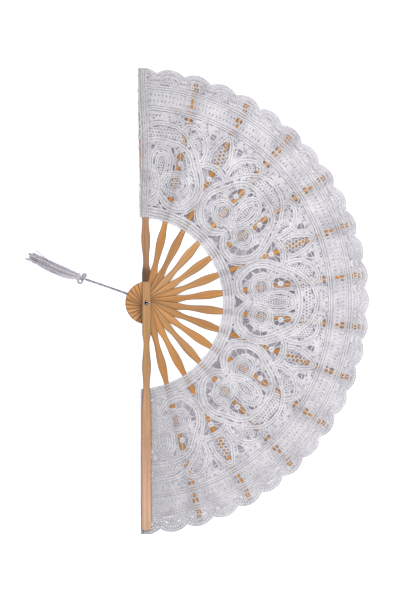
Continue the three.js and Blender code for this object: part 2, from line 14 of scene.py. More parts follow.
import bpy
import numpy as np
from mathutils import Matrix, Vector


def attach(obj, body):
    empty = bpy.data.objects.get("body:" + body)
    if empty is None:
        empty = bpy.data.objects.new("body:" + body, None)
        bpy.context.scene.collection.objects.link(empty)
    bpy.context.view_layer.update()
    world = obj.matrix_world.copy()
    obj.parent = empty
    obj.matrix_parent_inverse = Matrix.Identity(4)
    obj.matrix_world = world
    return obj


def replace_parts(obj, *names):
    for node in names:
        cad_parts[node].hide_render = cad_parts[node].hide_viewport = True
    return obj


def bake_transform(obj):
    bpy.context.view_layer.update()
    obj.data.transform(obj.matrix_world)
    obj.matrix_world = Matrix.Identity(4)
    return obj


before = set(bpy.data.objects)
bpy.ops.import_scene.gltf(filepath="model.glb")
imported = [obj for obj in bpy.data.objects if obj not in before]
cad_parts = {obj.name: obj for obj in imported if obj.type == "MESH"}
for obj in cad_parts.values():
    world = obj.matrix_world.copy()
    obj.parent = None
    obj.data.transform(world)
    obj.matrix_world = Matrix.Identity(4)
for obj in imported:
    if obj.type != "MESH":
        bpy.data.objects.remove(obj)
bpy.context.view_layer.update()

LOG = logging.getLogger("hand_fan")
MM = 0.001

Colour = tuple[int, int, int]
Point = tuple[float, float]
Path = Sequence[Point]
Array = np.ndarray
Body = tuple[Array, list[list[int]]]
Cuts = Sequence[tuple[Array, float]]
Piece = bpy.types.Object
Socket = bpy.types.NodeSocket


# The plan of the fan, shared by the sticks and the leaf


class StickKind(Enum):
    """The three kinds of stick."""

    BACK_GUARD = "back_guard"
    RIB = "rib"
    FRONT_GUARD = "front_guard"


@dataclass(frozen=True)
class FanPlan:
    """Where the sticks and the leaf lie on the open fan.

    Places count gores from the back guard, so whole places are sticks and halves are folds.
    Depths run from 0 at the leaf's inner edge to 1 at its outer edge.
    """

    open_angle: float = math.radians(181)
    rib_count: int = 12
    inner_radius: float = 79.4
    inner_centre: Point = (-8.8, 0.0)
    outer_radius: float = 216.3
    outer_centre: Point = (-10.2, 2.2)
    scallop_depth: float = 4.4
    scallops_per_gore: int = 2
    stick_pitch: float = 1.1
    slip_thickness: float = 0.5
    leaf_thickness: float = 0.35
    first_leaf_level: float = 4.15

    @property
    def gore_count(self) -> int:
        """Number of gores, one between every two sticks."""
        return self.rib_count + 1

    @property
    def gore_angle(self) -> float:
        """Angle between two neighbouring sticks."""
        return self.open_angle / self.gore_count

    def kind(self, stick: int) -> StickKind:
        """Which kind of stick has a number, counted from the back guard."""
        if stick == 0:
            return StickKind.BACK_GUARD
        return StickKind.FRONT_GUARD if stick == self.gore_count else StickKind.RIB

    def stick_name(self, stick: int) -> str:
        """Name of a stick's solid, from which its body and its piece have theirs."""
        kind = self.kind(stick)
        return f"rib_{stick:02d}" if kind is StickKind.RIB else kind.value

    def stick_angle(self, place: Array | float) -> Array | float:
        """Direction of a place on the fan, from +X."""
        return self.open_angle / 2 - place * self.gore_angle

    def leaf_level(self, stick: float) -> float:
        """Height of the leaf's underside on a stick."""
        return self.first_leaf_level + stick * self.stick_pitch

    def edge(self, centre: Point, radius: float, angle: Array) -> Array:
        """Distance from the rivet to a circle round a centre, looking out at an angle."""
        along = centre[0] * np.cos(angle) + centre[1] * np.sin(angle)
        across = centre[0] * np.sin(angle) - centre[1] * np.cos(angle)
        return along + np.sqrt(radius**2 - across**2)

    def inner_edge(self, angle: Array) -> Array:
        """Distance from the rivet to the leaf's inner edge."""
        return self.edge(self.inner_centre, self.inner_radius, angle)

    def outer_edge(self, angle: Array) -> Array:
        """Distance from the rivet to the circle through the scallops' crests."""
        return self.edge(self.outer_centre, self.outer_radius, angle)

    def scalloped_edge(self, place: Array) -> Array:
        """Distance from the rivet to the scalloped border."""
        turns = place * self.scallops_per_gore
        from_crest = 2 * np.abs(turns - np.round(turns))
        return self.outer_edge(self.stick_angle(place)) - self.scallop_depth * from_crest**2

    def leaf_radius(self, place: Array, depth: Array) -> Array:
        """Distance from the rivet to a place and depth on the leaf."""
        angle = self.stick_angle(place)
        inner, outer = self.inner_edge(angle), self.outer_edge(angle)
        return inner + (outer - inner) * depth

    def leaf_points(self, places: Array, depths: Array) -> Array:
        """Points of the fan's plane at places and depths of the leaf."""
        places, depths = np.broadcast_arrays(np.asarray(places, float), np.asarray(depths, float))
        return polar(self.leaf_radius(places, depths), self.stick_angle(places))

    def place_of(self, points: Array) -> tuple[Array, Array]:
        """Gores from the back guard, and distances from the rivet, of points of the plane."""
        angle = np.arctan2(points[:, 1], points[:, 0])
        return (self.open_angle / 2 - angle) / self.gore_angle, np.linalg.norm(points, axis=1)

    def off_stick(self, points: Array) -> Array:
        """Distances of points of the plane from the middle of the nearest stick."""
        place, radius = self.place_of(points)
        return np.abs(place - np.round(place)) * self.gore_angle * radius


def polar(radius: Array, angle: Array) -> Array:
    """Points at a radius and angle round the rivet, with x and y in the last axis."""
    return np.stack([radius * np.cos(angle), radius * np.sin(angle)], axis=-1)


# Meshes


def make_mesh(name: str, points: Array, faces: Sequence[Sequence[int]]) -> Piece:
    """Makes an object in the scene.

    Args:
        name: Name of the piece.
        points: Corners in millimetres.
        faces: Corner numbers of each face.

    Returns:
        The new object.
    """
    mesh = bpy.data.meshes.new(name)
    mesh.from_pydata((np.asarray(points, float) * MM).tolist(), [], [list(map(int, f)) for f in faces])
    mesh.validate()
    piece = bpy.data.objects.new(name, mesh)
    bpy.context.collection.objects.link(piece)
    return piece


def carry(piece: Piece, name: str, vectors: Array) -> None:
    """Lets a mesh carry a vector at each corner, for its finish to read under the name."""
    attribute = piece.data.attributes.new(name, "FLOAT_VECTOR", "POINT")
    attribute.data.foreach_set("vector", vectors.astype(np.float32).ravel())


def smooth(piece: Piece, crease: float) -> None:
    """Shades a piece smoothly, apart from edges sharper than the crease angle in degrees."""
    mesh = piece.data
    mesh.polygons.foreach_set("use_smooth", [True] * len(mesh.polygons))
    mesh.set_sharp_from_angle(angle=math.radians(crease))


def loft(rings: Sequence[Array], capped: bool = True) -> Body:
    """A skin through rings of equally many points.

    Args:
        rings: The rings, each listed the same way round.
        capped: Whether the first and last ring are closed.

    Returns:
        Points and faces.
    """
    count = len(rings[0])
    faces = []
    for ring in range(len(rings) - 1):
        for k in range(count):
            a, b = ring * count + k, ring * count + (k + 1) % count
            faces.append([a, b, b + count, a + count])
    if capped:
        last = (len(rings) - 1) * count
        faces.append(list(range(count))[::-1])
        faces.append([last + k for k in range(count)])
    return np.concatenate(rings), faces


def revolve(profile: Path, sides: int) -> Body:
    """A turned body about Z whose profile starts and ends on the axis.

    Args:
        profile: Radius and height of each place, from the lower end to the upper.
        sides: Number of sides round the axis.

    Returns:
        Points and faces.
    """
    turn = np.linspace(0, 2 * math.pi, sides, endpoint=False)
    inner = profile[1:-1]
    rings = [np.column_stack([r * np.cos(turn), r * np.sin(turn), np.full(sides, z)]) for r, z in inner]
    points, faces = loft(rings, capped=False)
    points = np.vstack([points, [0, 0, profile[0][1]], [0, 0, profile[-1][1]]])
    low, high, last = len(points) - 2, len(points) - 1, (len(inner) - 1) * sides
    for k in range(sides):
        after = (k + 1) % sides
        faces.append([low, after, k])
        faces.append([high, last + k, last + after])
    return points, faces


def sweep(
    path: Array,
    radius: float | Array,
    sides: int = 8,
    plies: int = 0,
    lay_length: float = 5.0,
    closed: bool = False,
) -> Body:
    """A tube along a path, twisted like a thread of several plies where asked.

    Args:
        path: Points of the centreline.
        radius: Radius, or one for each point.
        sides: Number of sides.
        plies: Number of strands whose bulges wind round the tube, or 0 for a round one.
        lay_length: Length in which the strands wind once round.
        closed: Whether the path returns to its first point.

    Returns:
        Points and faces.
    """
    path = np.asarray(path, float)
    count = len(path)
    ahead = np.roll(path, -1, axis=0) - np.roll(path, 1, axis=0)
    if not closed:
        ahead[0], ahead[-1] = path[1] - path[0], path[-1] - path[-2]
    ahead /= np.linalg.norm(ahead, axis=1, keepdims=True)
    side = np.cross(ahead[0], [0.0, 0.0, 1.0])
    if np.linalg.norm(side) < 1e-3:
        side = np.array([1.0, 0.0, 0.0])
    radii = np.broadcast_to(radius, count)
    steps = np.linalg.norm(np.diff(path, axis=0, append=path[:1]), axis=1)
    along = np.concatenate([[0], np.cumsum(steps)[:-1]])
    turn = np.linspace(0, 2 * math.pi, sides, endpoint=False)
    rings = []
    for k in range(count):
        side = side - ahead[k] * side.dot(ahead[k])
        side /= np.linalg.norm(side)
        up = np.cross(side, ahead[k])
        wind = 2 * math.pi * along[k] / lay_length
        bulge = 1 + 0.1 * np.cos(plies * (turn - wind)) - 0.1 if plies else np.ones(sides)
        reach = radii[k] * bulge
        rings.append(path[k] + np.outer(reach * np.cos(turn), side) + np.outer(reach * np.sin(turn), up))
    if closed:
        points, faces = loft([*rings, rings[0]], capped=False)
        total = count * sides
        return points[:total], [[corner % total for corner in face] for face in faces]
    return loft(rings)


def joined(*bodies: Body) -> Body:
    """Several bodies as one.

    Args:
        bodies: Points and faces of each.

    Returns:
        Points and faces of all.
    """
    points, faces, start = [], [], 0
    for body_points, body_faces in bodies:
        points.append(body_points)
        faces.extend([[corner + start for corner in face] for face in body_faces])
        start += len(body_points)
    return np.concatenate(points), faces


def spline(corners: Array, closed: bool = False, steps: int = 12) -> Array:
    """A smooth line through places.

    Args:
        corners: The places.
        closed: Whether the line returns to the first.
        steps: Points from each place to the next.

    Returns:
        Points of the line.
    """
    corners = np.asarray(corners, float)
    before, after = 2 * corners[:1] - corners[1:2], 2 * corners[-1:] - corners[-2:-1]
    if closed:
        before, after = corners[-1:], corners[:2]
    padded = np.vstack([before, corners, after])
    t = np.linspace(0, 1, steps, endpoint=False)[:, None]
    line = []
    for k in range(len(padded) - 3):
        a, b, c, d = padded[k : k + 4]
        bend = (2 * a - 5 * b + 4 * c - d) * t**2 + (3 * b - a - 3 * c + d) * t**3
        line.append(0.5 * (2 * b + (c - a) * t + bend))
    end = corners[:1] if closed else corners[-1:]
    return np.vstack([*line, end])


def sampled(values: Array, reach: Array, at: Array) -> Array:
    """Rows of values that belong to distances, read at other distances between them."""
    return np.stack([np.interp(at, reach, column) for column in values.T], axis=1)


def inside(points: Array, outline: Array) -> Array:
    """Which points of the plane lie inside a closed outline.

    Args:
        points: The points, with x and y in the last axis.
        outline: Points of the outline.

    Returns:
        True or False for each.
    """
    x, y = points[..., 0], points[..., 1]
    result = np.zeros(x.shape, bool)
    for (x0, y0), (x1, y1) in zip(outline, np.roll(outline, -1, axis=0)):
        if y0 == y1:
            continue
        crosses = (y0 > y) != (y1 > y)
        result ^= crosses & (x < (x1 - x0) * (y - y0) / (y1 - y0) + x0)
    return result


# Finishes


def paint(colour: Colour) -> tuple[float, float, float, float]:
    """A colour of 0 to 255 per channel as the linear colour that a shader takes."""
    shares = [channel / 255 for channel in colour]
    red, green, blue = (s / 12.92 if s <= 0.04045 else ((s + 0.055) / 1.055) ** 2.4 for s in shares)
    return red, green, blue, 1.0


class Nodes:
    """The nodes of a material or of the sky."""

    def __init__(self, owner: bpy.types.Material | bpy.types.World) -> None:
        """Turns the owner's nodes on."""
        owner.use_nodes = True
        self.nodes = owner.node_tree.nodes
        self.links = owner.node_tree.links

    def add(self, kind: str, inputs: dict[str | int, object], **settings: object) -> bpy.types.Node:
        """Adds a node.

        Args:
            kind: Node type without its ShaderNode prefix.
            inputs: Value, or another node's output, for each input.
            settings: The node's own settings.

        Returns:
            The node.
        """
        node = self.nodes.new("ShaderNode" + kind)
        for name, value in settings.items():
            setattr(node, name, value)
        for name, value in inputs.items():
            if isinstance(value, Socket):
                self.links.new(value, node.inputs[name])
            else:
                node.inputs[name].default_value = value
        return node

    def maths(self, operation: str, *values: object) -> Socket:
        """A sum or another operation on numbers."""
        return self.add("Math", dict(enumerate(values)), operation=operation).outputs["Value"]


class Graph(Nodes):
    """A material that is being put together round one shader."""

    def __init__(self, name: str, **values: float) -> None:
        """Starts the material.

        Args:
            name: Its name.
            values: Values of the shader's sockets, whose names have _ for a space.
        """
        self.material = bpy.data.materials.new(name)
        super().__init__(self.material)
        self.shader = self.nodes["Principled BSDF"]
        for socket, value in values.items():
            self.shader.inputs[socket.replace("_", " ")].default_value = value

    def place(self, attribute: str) -> Socket:
        """A vector that the mesh carries at its corners."""
        return self.add("Attribute", {}, attribute_name=attribute).outputs["Vector"]

    def here(self) -> Socket:
        """The piece's own coordinates in metres."""
        return self.add("TexCoord", {}).outputs["Object"]

    def stretched(self, vector: Socket, scale: tuple[float, float, float]) -> Socket:
        """A vector scaled on each axis."""
        return self.add("Mapping", {"Vector": vector, "Scale": scale}).outputs["Vector"]

    def noise(self, vector: Socket, scale: float, detail: float = 3.0, rough: float = 0.55) -> Socket:
        """Soft noise from 0 to 1."""
        inputs = {"Vector": vector, "Scale": scale, "Detail": detail, "Roughness": rough}
        return self.add("TexNoise", inputs).outputs["Fac"]

    def ramp(self, factor: Socket, stops: Sequence[tuple[float, Colour]]) -> Socket:
        """A run of colours along a factor.

        Args:
            factor: Place on the run.
            stops: Place and colour of each stop.

        Returns:
            The colour.
        """
        node = self.add("ValToRGB", {"Fac": factor})
        elements = node.color_ramp.elements
        while len(elements) < len(stops):
            elements.new(0.5)
        for element, (position, colour) in zip(elements, stops):
            element.position = position
            element.color = paint(colour)
        return node.outputs["Color"]

    def spread(self, value: Socket, low: float, high: float, to_low: float, to_high: float) -> Socket:
        """A value taken from one range to another, and held at its ends."""
        inputs = {"Value": value, "From Min": low, "From Max": high, "To Min": to_low, "To Max": to_high}
        return self.add("MapRange", inputs).outputs["Result"]

    def product(self, first: Socket, *others: Socket) -> Socket:
        """Several numbers multiplied together."""
        for other in others:
            first = self.maths("MULTIPLY", first, other)
        return first

    def ripples(self, distance: Socket, length: float) -> Socket:
        """A wave of a length in millimetres along a distance in metres."""
        return self.maths("SINE", self.maths("MULTIPLY", distance, 2 * math.pi / (length * MM)))

    def shaded(self, colour: Socket, shade: Socket) -> Socket:
        """A colour multiplied by a brightness."""
        grey = self.add("CombineColor", {0: shade, 1: shade, 2: shade}).outputs["Color"]
        inputs = {0: 1.0, 6: colour, 7: grey}
        return self.add("Mix", inputs, data_type="RGBA", blend_type="MULTIPLY").outputs[2]

    def split(self, vector: Socket) -> tuple[Socket, Socket, Socket]:
        """A vector's three parts."""
        outputs = self.add("SeparateXYZ", {"Vector": vector}).outputs
        return outputs["X"], outputs["Y"], outputs["Z"]

    def bumped(self, height: Socket, depth: float, strength: float = 1.0) -> None:
        """Gives the shader relief of a depth in millimetres."""
        inputs = {"Height": height, "Strength": strength, "Distance": depth * MM}
        self.links.new(self.add("Bump", inputs).outputs["Normal"], self.shader.inputs["Normal"])

    def finish(self, colour: Socket, roughness: Socket | None = None) -> bpy.types.Material:
        """Joins colour and roughness to the shader, and gives the material."""
        self.links.new(colour, self.shader.inputs["Base Color"])
        if roughness is not None:
            self.links.new(roughness, self.shader.inputs["Roughness"])
        return self.material


@dataclass(frozen=True)
class BambooFinish:
    """Polished bamboo: long fibres, broad streaks of tone, and edges darkened by wear and by painted shade.
    """

    name: str
    head: Colour
    belly: Colour
    blade: Colour
    tip: Colour
    seed: float = 0.0
    edge_width: float = 0.8
    edge_shade: float = 0.3
    dark_band_end: float = -0.02

    def material(self) -> bpy.types.Material:
        """Bamboo that reads places along, across and from the edge out of the mesh.

        Returns:
            The material.
        """
        graph = Graph(self.name, Specular_IOR_Level=0.42, Coat_Weight=0.12, Coat_Roughness=0.3)
        stick = graph.place("stick")
        along, _, edge = graph.split(stick)
        shift = (self.seed, self.seed * 0.37, 0)
        own = graph.add("VectorMath", {0: stick, 1: shift}, operation="ADD").outputs[0]
        fibres = graph.noise(graph.stretched(own, (22, 1300, 0)), 1.0, 3.0, 0.6)
        streaks = graph.noise(graph.stretched(own, (14, 420, 0)), 1.0, 2.0)
        blotches = graph.noise(graph.stretched(own, (30, 60, 0)), 1.0, 2.0)
        reach = graph.spread(along, -0.02, 0.21, 0.0, 1.0)
        places = zip((0.0, 0.3, 0.5, 1.0), (self.head, self.belly, self.blade, self.tip))
        tone = graph.ramp(reach, list(places))
        fine = graph.spread(fibres, 0.35, 0.65, 0.84, 1.12)
        broad = graph.spread(streaks, 0.35, 0.65, 0.88, 1.1)
        patch = graph.spread(blotches, 0.3, 0.7, 0.95, 1.05)
        # Painted shade and wear: darker within edge_width of a stick's outline, down to edge_shade, which
        # draws the dark lines where the heads overlap.
        tone_and_shade = graph.spread(edge, 0.0, self.edge_width, self.edge_shade, 1.0)
        # A darker band along the stick from about 24 mm short of dark_band_end up to it, with a ragged edge
        # along the fibres; the default end puts it off the stick.
        ragged = graph.maths("ADD", along, graph.spread(fibres, 0.35, 0.65, -0.003, 0.003))
        dark_band = graph.spread(ragged, self.dark_band_end - 0.004, self.dark_band_end, 0.5, 1.0)
        clear = graph.spread(ragged, self.dark_band_end - 0.024, self.dark_band_end - 0.02, 1.0, 0.5)
        shade = graph.product(fine, broad, patch, tone_and_shade, graph.maths("MAXIMUM", dark_band, clear))
        graph.bumped(fibres, 0.05, 0.5)
        return graph.finish(graph.shaded(tone, shade), graph.spread(streaks, 0.3, 0.7, 0.38, 0.55))


@dataclass(frozen=True)
class LaceFinish:
    """Off-white cotton lace: fine lines along each tape, cross threads and uneven age."""

    name: str = "tape_lace"
    light: Colour = (229, 228, 230)
    middle: Colour = (217, 216, 219)
    dark: Colour = (198, 196, 202)
    thread: float = 0.9
    weft: float = 2.0

    def material(self) -> bpy.types.Material:
        """Lace that reads places along and across the thread, and its tone with painted shade in it, out of
        the mesh.

        Returns:
            The material.
        """
        graph = Graph(self.name, Roughness=0.9, Specular_IOR_Level=0.2)
        along, across, tone = graph.split(graph.place("weave"))
        weave = graph.maths("ADD", graph.ripples(across, self.thread), graph.ripples(along, self.weft))
        fuzz = graph.noise(graph.here(), 620.0, 3.0, 0.75)
        age = graph.noise(graph.here(), 60.0, 5.0, 0.65)
        base = graph.ramp(age, [(0.3, self.dark), (0.5, self.middle), (0.68, self.light)])
        tufts = graph.maths("MULTIPLY", fuzz, 0.5)
        relief = graph.maths("ADD", graph.spread(weave, -2.0, 2.0, 0.0, 0.5), tufts)
        knots = graph.spread(fuzz, 0.34, 0.6, 0.82, 1.07)
        threads = graph.spread(weave, -2.0, 2.0, 0.97, 1.03)
        shade = graph.product(knots, threads, graph.spread(tone, -0.6, 0.95, 0.392, 1.074))
        graph.bumped(relief, 0.16, 0.8)
        return graph.finish(graph.shaded(base, shade))


@dataclass(frozen=True)
class ThreadFinish:
    """Grey-white silky thread for the cord and tassel."""

    name: str
    light: Colour = (216, 214, 220)
    dark: Colour = (166, 163, 170)
    by_strand: bool = False

    def material(self) -> bpy.types.Material:
        """Thread whose tone goes by strand where the mesh gives one.

        Returns:
            The material.
        """
        graph = Graph(self.name, Specular_IOR_Level=0.3, Sheen_Weight=0.2)
        cloud = graph.noise(graph.here(), 380.0, 3.0, 0.6)
        fuzz = graph.noise(graph.here(), 2600.0, 2.0)
        tone = graph.spread(cloud, 0.3, 0.65, 0.0, 1.0)
        if self.by_strand:
            strand, _, _ = graph.split(graph.place("strand"))
            own = graph.maths("MULTIPLY", strand, 0.75)
            tone = graph.maths("ADD", own, graph.maths("MULTIPLY", tone, 0.25))
        colour = graph.ramp(tone, [(0.0, self.dark), (1.0, self.light)])
        graph.bumped(fuzz, 0.1, 0.6)
        return graph.finish(colour, graph.spread(cloud, 0.3, 0.7, 0.55, 0.8))


@dataclass(frozen=True)
class MetalFinish:
    """Polished rivet metal with fine scratches, which looks black under a dark sky."""

    name: str = "rivet_metal"
    bare: Colour = (176, 172, 178)
    stained: Colour = (128, 124, 130)

    def material(self) -> bpy.types.Material:
        """Bright metal, stained in patches and finely scratched.

        Returns:
            The material.
        """
        graph = Graph(self.name, Metallic=1.0)
        cloud = graph.noise(graph.here(), 700.0, 4.0)
        scratch = graph.noise(graph.stretched(graph.here(), (400, 5200, 400)), 1.0, 2.0)
        colour = graph.ramp(cloud, [(0.35, self.stained), (0.65, self.bare)])
        graph.bumped(scratch, 0.02, 0.3)
        return graph.finish(colour, graph.spread(cloud, 0.3, 0.7, 0.08, 0.16))


@dataclass(frozen=True)
class TableFinish:
    """White table top that stays white where it is open to the sky, and takes shade under the lace."""

    name: str = "table"
    colour: Colour = (242, 234, 249)
    lift: float = 0.8
    own_light: Colour = (247, 255, 250)
    reach: float = 45.0
    sheltered: float = 0.3
    open: float = 0.6
    bare_radius: float = 74.0
    bare_fade: float = 6.0
    outer_lift: float = 0.09

    def material(self) -> bpy.types.Material:
        """Plain white, with painted light: an emission for camera, glossy and transmission rays that lifts
        it in the open, near the rivet and far out.

        Returns:
            The material.
        """
        graph = Graph(self.name, Roughness=1.0, Specular_IOR_Level=0.0)
        grain = graph.noise(graph.here(), 3.0)
        light = graph.add("LightPath", {})
        seen = graph.maths("MAXIMUM", light.outputs["Is Camera Ray"], light.outputs["Is Glossy Ray"])
        seen = graph.maths("MAXIMUM", seen, light.outputs["Is Transmission Ray"])
        shelter = graph.add("AmbientOcclusion", {"Distance": self.reach * MM}, samples=8)
        out = graph.add("VectorMath", {0: graph.here()}, operation="LENGTH").outputs["Value"]
        faded = self.bare_radius + self.bare_fade
        # Painted light: an extra lift within bare_radius of the rivet whitens the shade between the sticks.
        near = graph.spread(out, self.bare_radius * MM, faded * MM, 0.35, 0.0)
        sky = graph.maths("ADD", shelter.outputs["AO"], near)
        bare = graph.spread(sky, self.sheltered, self.open, 0.0, self.lift)
        # Painted light: a further lift from 110 to 170 mm out from the rivet.
        bare = graph.maths("MAXIMUM", bare, graph.spread(out, 0.11, 0.17, 0.0, self.outer_lift))
        graph.shader.inputs["Emission Color"].default_value = paint(self.own_light)
        graph.links.new(graph.maths("MULTIPLY", seen, bare), graph.shader.inputs["Emission Strength"])
        return graph.finish(graph.ramp(grain, [(0.0, self.colour), (1.0, self.colour)]))


# Studio


@dataclass
class Studio:
    """Camera, table and light."""

    picture_width: int = 401
    picture_height: int = 601
    pixel: float = 0.924
    rivet_pixel: Point = (146.6, 302.4)
    distance: float = 2600.0
    focus_height: float = 14.0
    roll: float = 0.5
    sensor: float = 36.0
    key_energy: float = 10.5
    sky: float = 0.72
    sky_mirrored: float = 0.1
    sky_colour: Colour = (253, 251, 255)
    lamp_size: float = 0.26
    lamp_distance: float = 1.6

    def build(self) -> None:
        """Makes the camera first, and then the table, the sky and the lamps."""
        self.camera()
        self.table()
        self.sky_dome()
        self.lamp("key", (0.32, 0.9, 1.05), self.key_energy)
        self.lamp("fill", (0.05, -0.95, 1.05), self.key_energy * 0.5)

    def camera(self) -> None:
        """A camera straight above the fan, set so that the rivet falls where the photo has it."""
        data = bpy.data.cameras.new("camera")
        data.sensor_width = self.sensor
        data.lens = self.sensor * self.distance / (self.picture_height * self.pixel)
        camera = bpy.data.objects.new("camera", data)
        bpy.context.collection.objects.link(camera)
        across = (self.picture_width / 2 - self.rivet_pixel[0]) * self.pixel
        up = (self.rivet_pixel[1] - self.picture_height / 2) * self.pixel
        camera.location = Vector((across, up, self.focus_height + self.distance)) * MM
        camera.rotation_euler = (0, 0, -math.radians(self.roll))
        bpy.context.scene.camera = camera

    def table(self) -> None:
        """The table top, a hair below the lowest point of the fan."""
        reach, drop = 2500.0, 0.05
        corners = np.array([[-reach, -reach], [reach, -reach], [reach, reach], [-reach, reach]])
        top = make_mesh("table", np.column_stack([corners, np.full(4, -drop)]), [[0, 1, 2, 3]])
        top.data.materials.append(TableFinish().material())

    def lamp(self, name: str, direction: Sequence[float], energy: float) -> None:
        """A square lamp that faces the fan.

        Args:
            name: Name of the lamp.
            direction: Where it stands, seen from the fan.
            energy: Its power in watts.
        """
        data = bpy.data.lights.new(name, "AREA")
        data.size = self.lamp_size
        data.energy = energy
        lamp = bpy.data.objects.new(name, data)
        away = Vector(direction).normalized()
        lamp.location = Vector((0.1, 0.0, 0.0)) + away * self.lamp_distance
        lamp.rotation_euler = away.to_track_quat("Z", "Y").to_euler()
        bpy.context.collection.objects.link(lamp)

    def sky_dome(self) -> None:
        """An even sky: white to the camera, and dark to the polished metal that mirrors it."""
        world = bpy.data.worlds.new("sky")
        bpy.context.scene.world = world
        bpy.context.scene.view_settings.view_transform = "Standard"
        graph = Nodes(world)
        ray = graph.add("LightPath", {}).outputs
        seen = graph.maths("MAXIMUM", ray["Is Camera Ray"], ray["Is Transmission Ray"])
        darker = self.sky_mirrored - self.sky
        strength = graph.maths("MULTIPLY_ADD", ray["Is Glossy Ray"], darker, self.sky)
        sky = graph.nodes["Background"]
        sky.inputs["Color"].default_value = paint(self.sky_colour)
        graph.links.new(strength, sky.inputs["Strength"])
        white = graph.add("Background", {"Color": (1.0, 1.0, 1.0, 1.0)})
        both = graph.add("MixShader", {0: seen, 1: sky.outputs[0], 2: white.outputs[0]})
        graph.links.new(both.outputs[0], graph.nodes["World Output"].inputs["Surface"])


# Cord and tassel


@dataclass
class Tassel:
    """The cord from the rivet's eye, its knot with two curls, and the skirt of threads."""

    cord_diameter: float = 1.3
    strand_diameter: float = 1.2
    strand_gap: float = 0.62
    strand_parting: Path = ((0, 1), (0.25, 1), (0.6, 0.75), (0.93, 1), (1, 0.6))
    strand_lay: float = 3.6
    cord_tuck: float = 0.45
    eye_radius: float = 2.15
    cord_height: float = 1.65
    clearance: float = 0.3
    bed: float = 0.1
    knot_length: float = 4.4
    knot_radius: float = 1.7
    knot_strand: float = 0.5
    knot_wraps: int = 5
    curl_radii: tuple[float, float] = (1.5, 2.05)
    curl_thickness: float = 2.0
    skirt_length: float = 54.5
    skirt_width: float = 13.0
    skirt_bow: tuple[float, ...] = (0.0, 1.1, 0.7, -0.6, -2.2)
    skirt_widths: Path = (
        (0, 0.4), (0.06, 0.56), (0.14, 0.72), (0.3, 0.84), (0.48, 0.84), (0.65, 0.78), (0.82, 0.76),
        (1, 0.92),
    )
    neck_start: float = 1.0
    neck_size: tuple[float, float, float] = (2.2, 3.3, 1.62)
    neck_height: float = 2.0
    neck_strand: float = 0.32
    neck_wraps: int = 4
    lock_layers: int = 3
    locks_across: int = 8
    lock_threads: int = 9
    lock_radius: float = 0.72
    lock_widths: Path = ((0, 0.45), (0.1, 0.6), (0.25, 1.0), (0.78, 0.95), (1, 0.55))
    lock_levels: Path = ((0, 1.1), (0.3, 1.7), (0.7, 1.5), (1, 0.7))
    thread_radii: Point = (0.17, 0.24)
    direction: float = math.radians(158.8)
    route: tuple[tuple[float, float, float], ...] = (
        (-5.4, 2.6, 1.65), (-8.4, 4.1, 1.55), (-12.6, 6.2, 1.3), (-18.3, 8.6, 1.0), (-23.4, 10.6, 0.8),
        (-28.6, 12.4, 0.75), (-33.0, 14.1, 0.75), (-37.1, 15.5, 0.75), (-41.4, 17.1, 0.75),
        (-45.5, 18.5, 0.75), (-49.8, 20.0, 0.75), (-53.9, 21.4, 0.8), (-57.2, 22.6, 1.1),
    )
    pieces: list[Piece] = field(default_factory=list)

    def build(self) -> list[Piece]:
        """Makes the cord and everything on it.

        Returns:
            The pieces.
        """
        cord, path = self.cord()
        knot, skirt, eye = self.knot(), self.skirt(), self.eye()
        self.pieces = [cord, knot, skirt, eye]
        return self.pieces

    def dress(self) -> None:
        """Gives the pieces their thread finishes."""
        cotton = ThreadFinish("tassel_thread", by_strand=True).material()
        twisted = ThreadFinish("cord_thread", (180, 178, 184), (128, 126, 132)).material()
        wound = ThreadFinish("knot_thread", (192, 190, 196), (142, 140, 146)).material()
        finishes = {"tassel_threads": cotton, "tassel_knot_wound": wound}
        for piece in self.pieces:
            piece.data.materials.append(finishes.get(piece.name, twisted))
            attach(piece, "back_guard_body")

    def point(self, along: float, aside: float, height: float) -> Array:
        """A point of the tassel.

        Args:
            along: Distance from the cord's end along the tassel.
            aside: Distance to its left.
            height: Height above the table.

        Returns:
            The point.
        """
        ahead = np.array([math.cos(self.direction), math.sin(self.direction)])
        left = np.array([-ahead[1], ahead[0]])
        flat = np.array(self.route[-1][:2]) + ahead * along + left * aside
        return np.array([flat[0], flat[1], height])

    def cord(self) -> tuple[Piece, Array]:
        """The cord, a loop whose two twisted strands lie side by side.

        Returns:
            The piece, and the points of its centreline.
        """
        first = np.array(self.route[0])
        away = first[:2] / np.linalg.norm(first[:2])
        start = away * (self.eye_radius + self.cord_diameter / 2 + self.clearance)
        path = spline(np.vstack([[*start, self.cord_height], self.route]), steps=18)
        beside = np.column_stack([-np.gradient(path[:, 1]), np.gradient(path[:, 0]), np.zeros(len(path))])
        beside /= np.linalg.norm(beside, axis=1, keepdims=True)
        share = np.linspace(0, 1, len(path))
        part = self.strand_gap * np.interp(share, *zip(*self.strand_parting))
        middle = np.vstack([path[:-1], path[-1] + (path[-1] - path[-4]) * self.cord_tuck])
        strands = []
        for side in (-1, 1):
            line = middle + side * part[:, None] * beside
            strands.append(sweep(line, self.strand_diameter / 2, 10, plies=3, lay_length=self.strand_lay))
        piece = make_mesh("tassel_cord_twisted", *joined(*strands))
        smooth(piece, 80)
        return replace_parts(piece, "tassel_cord"), path

    def eye(self) -> Piece:
        """The eye of the cord round the rivet.

        Returns:
            The piece.
        """
        turn = np.linspace(0, 2 * math.pi, 48, endpoint=False)
        path = np.column_stack([polar(self.eye_radius, turn), np.full(48, self.cord_height)])
        lay = 2 * math.pi * self.eye_radius / 3
        tube = sweep(path, self.cord_diameter / 2, 10, plies=3, lay_length=lay, closed=True)
        piece = make_mesh("cord_eye_twisted", *tube)
        smooth(piece, 80)
        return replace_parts(piece, "cord_eye")

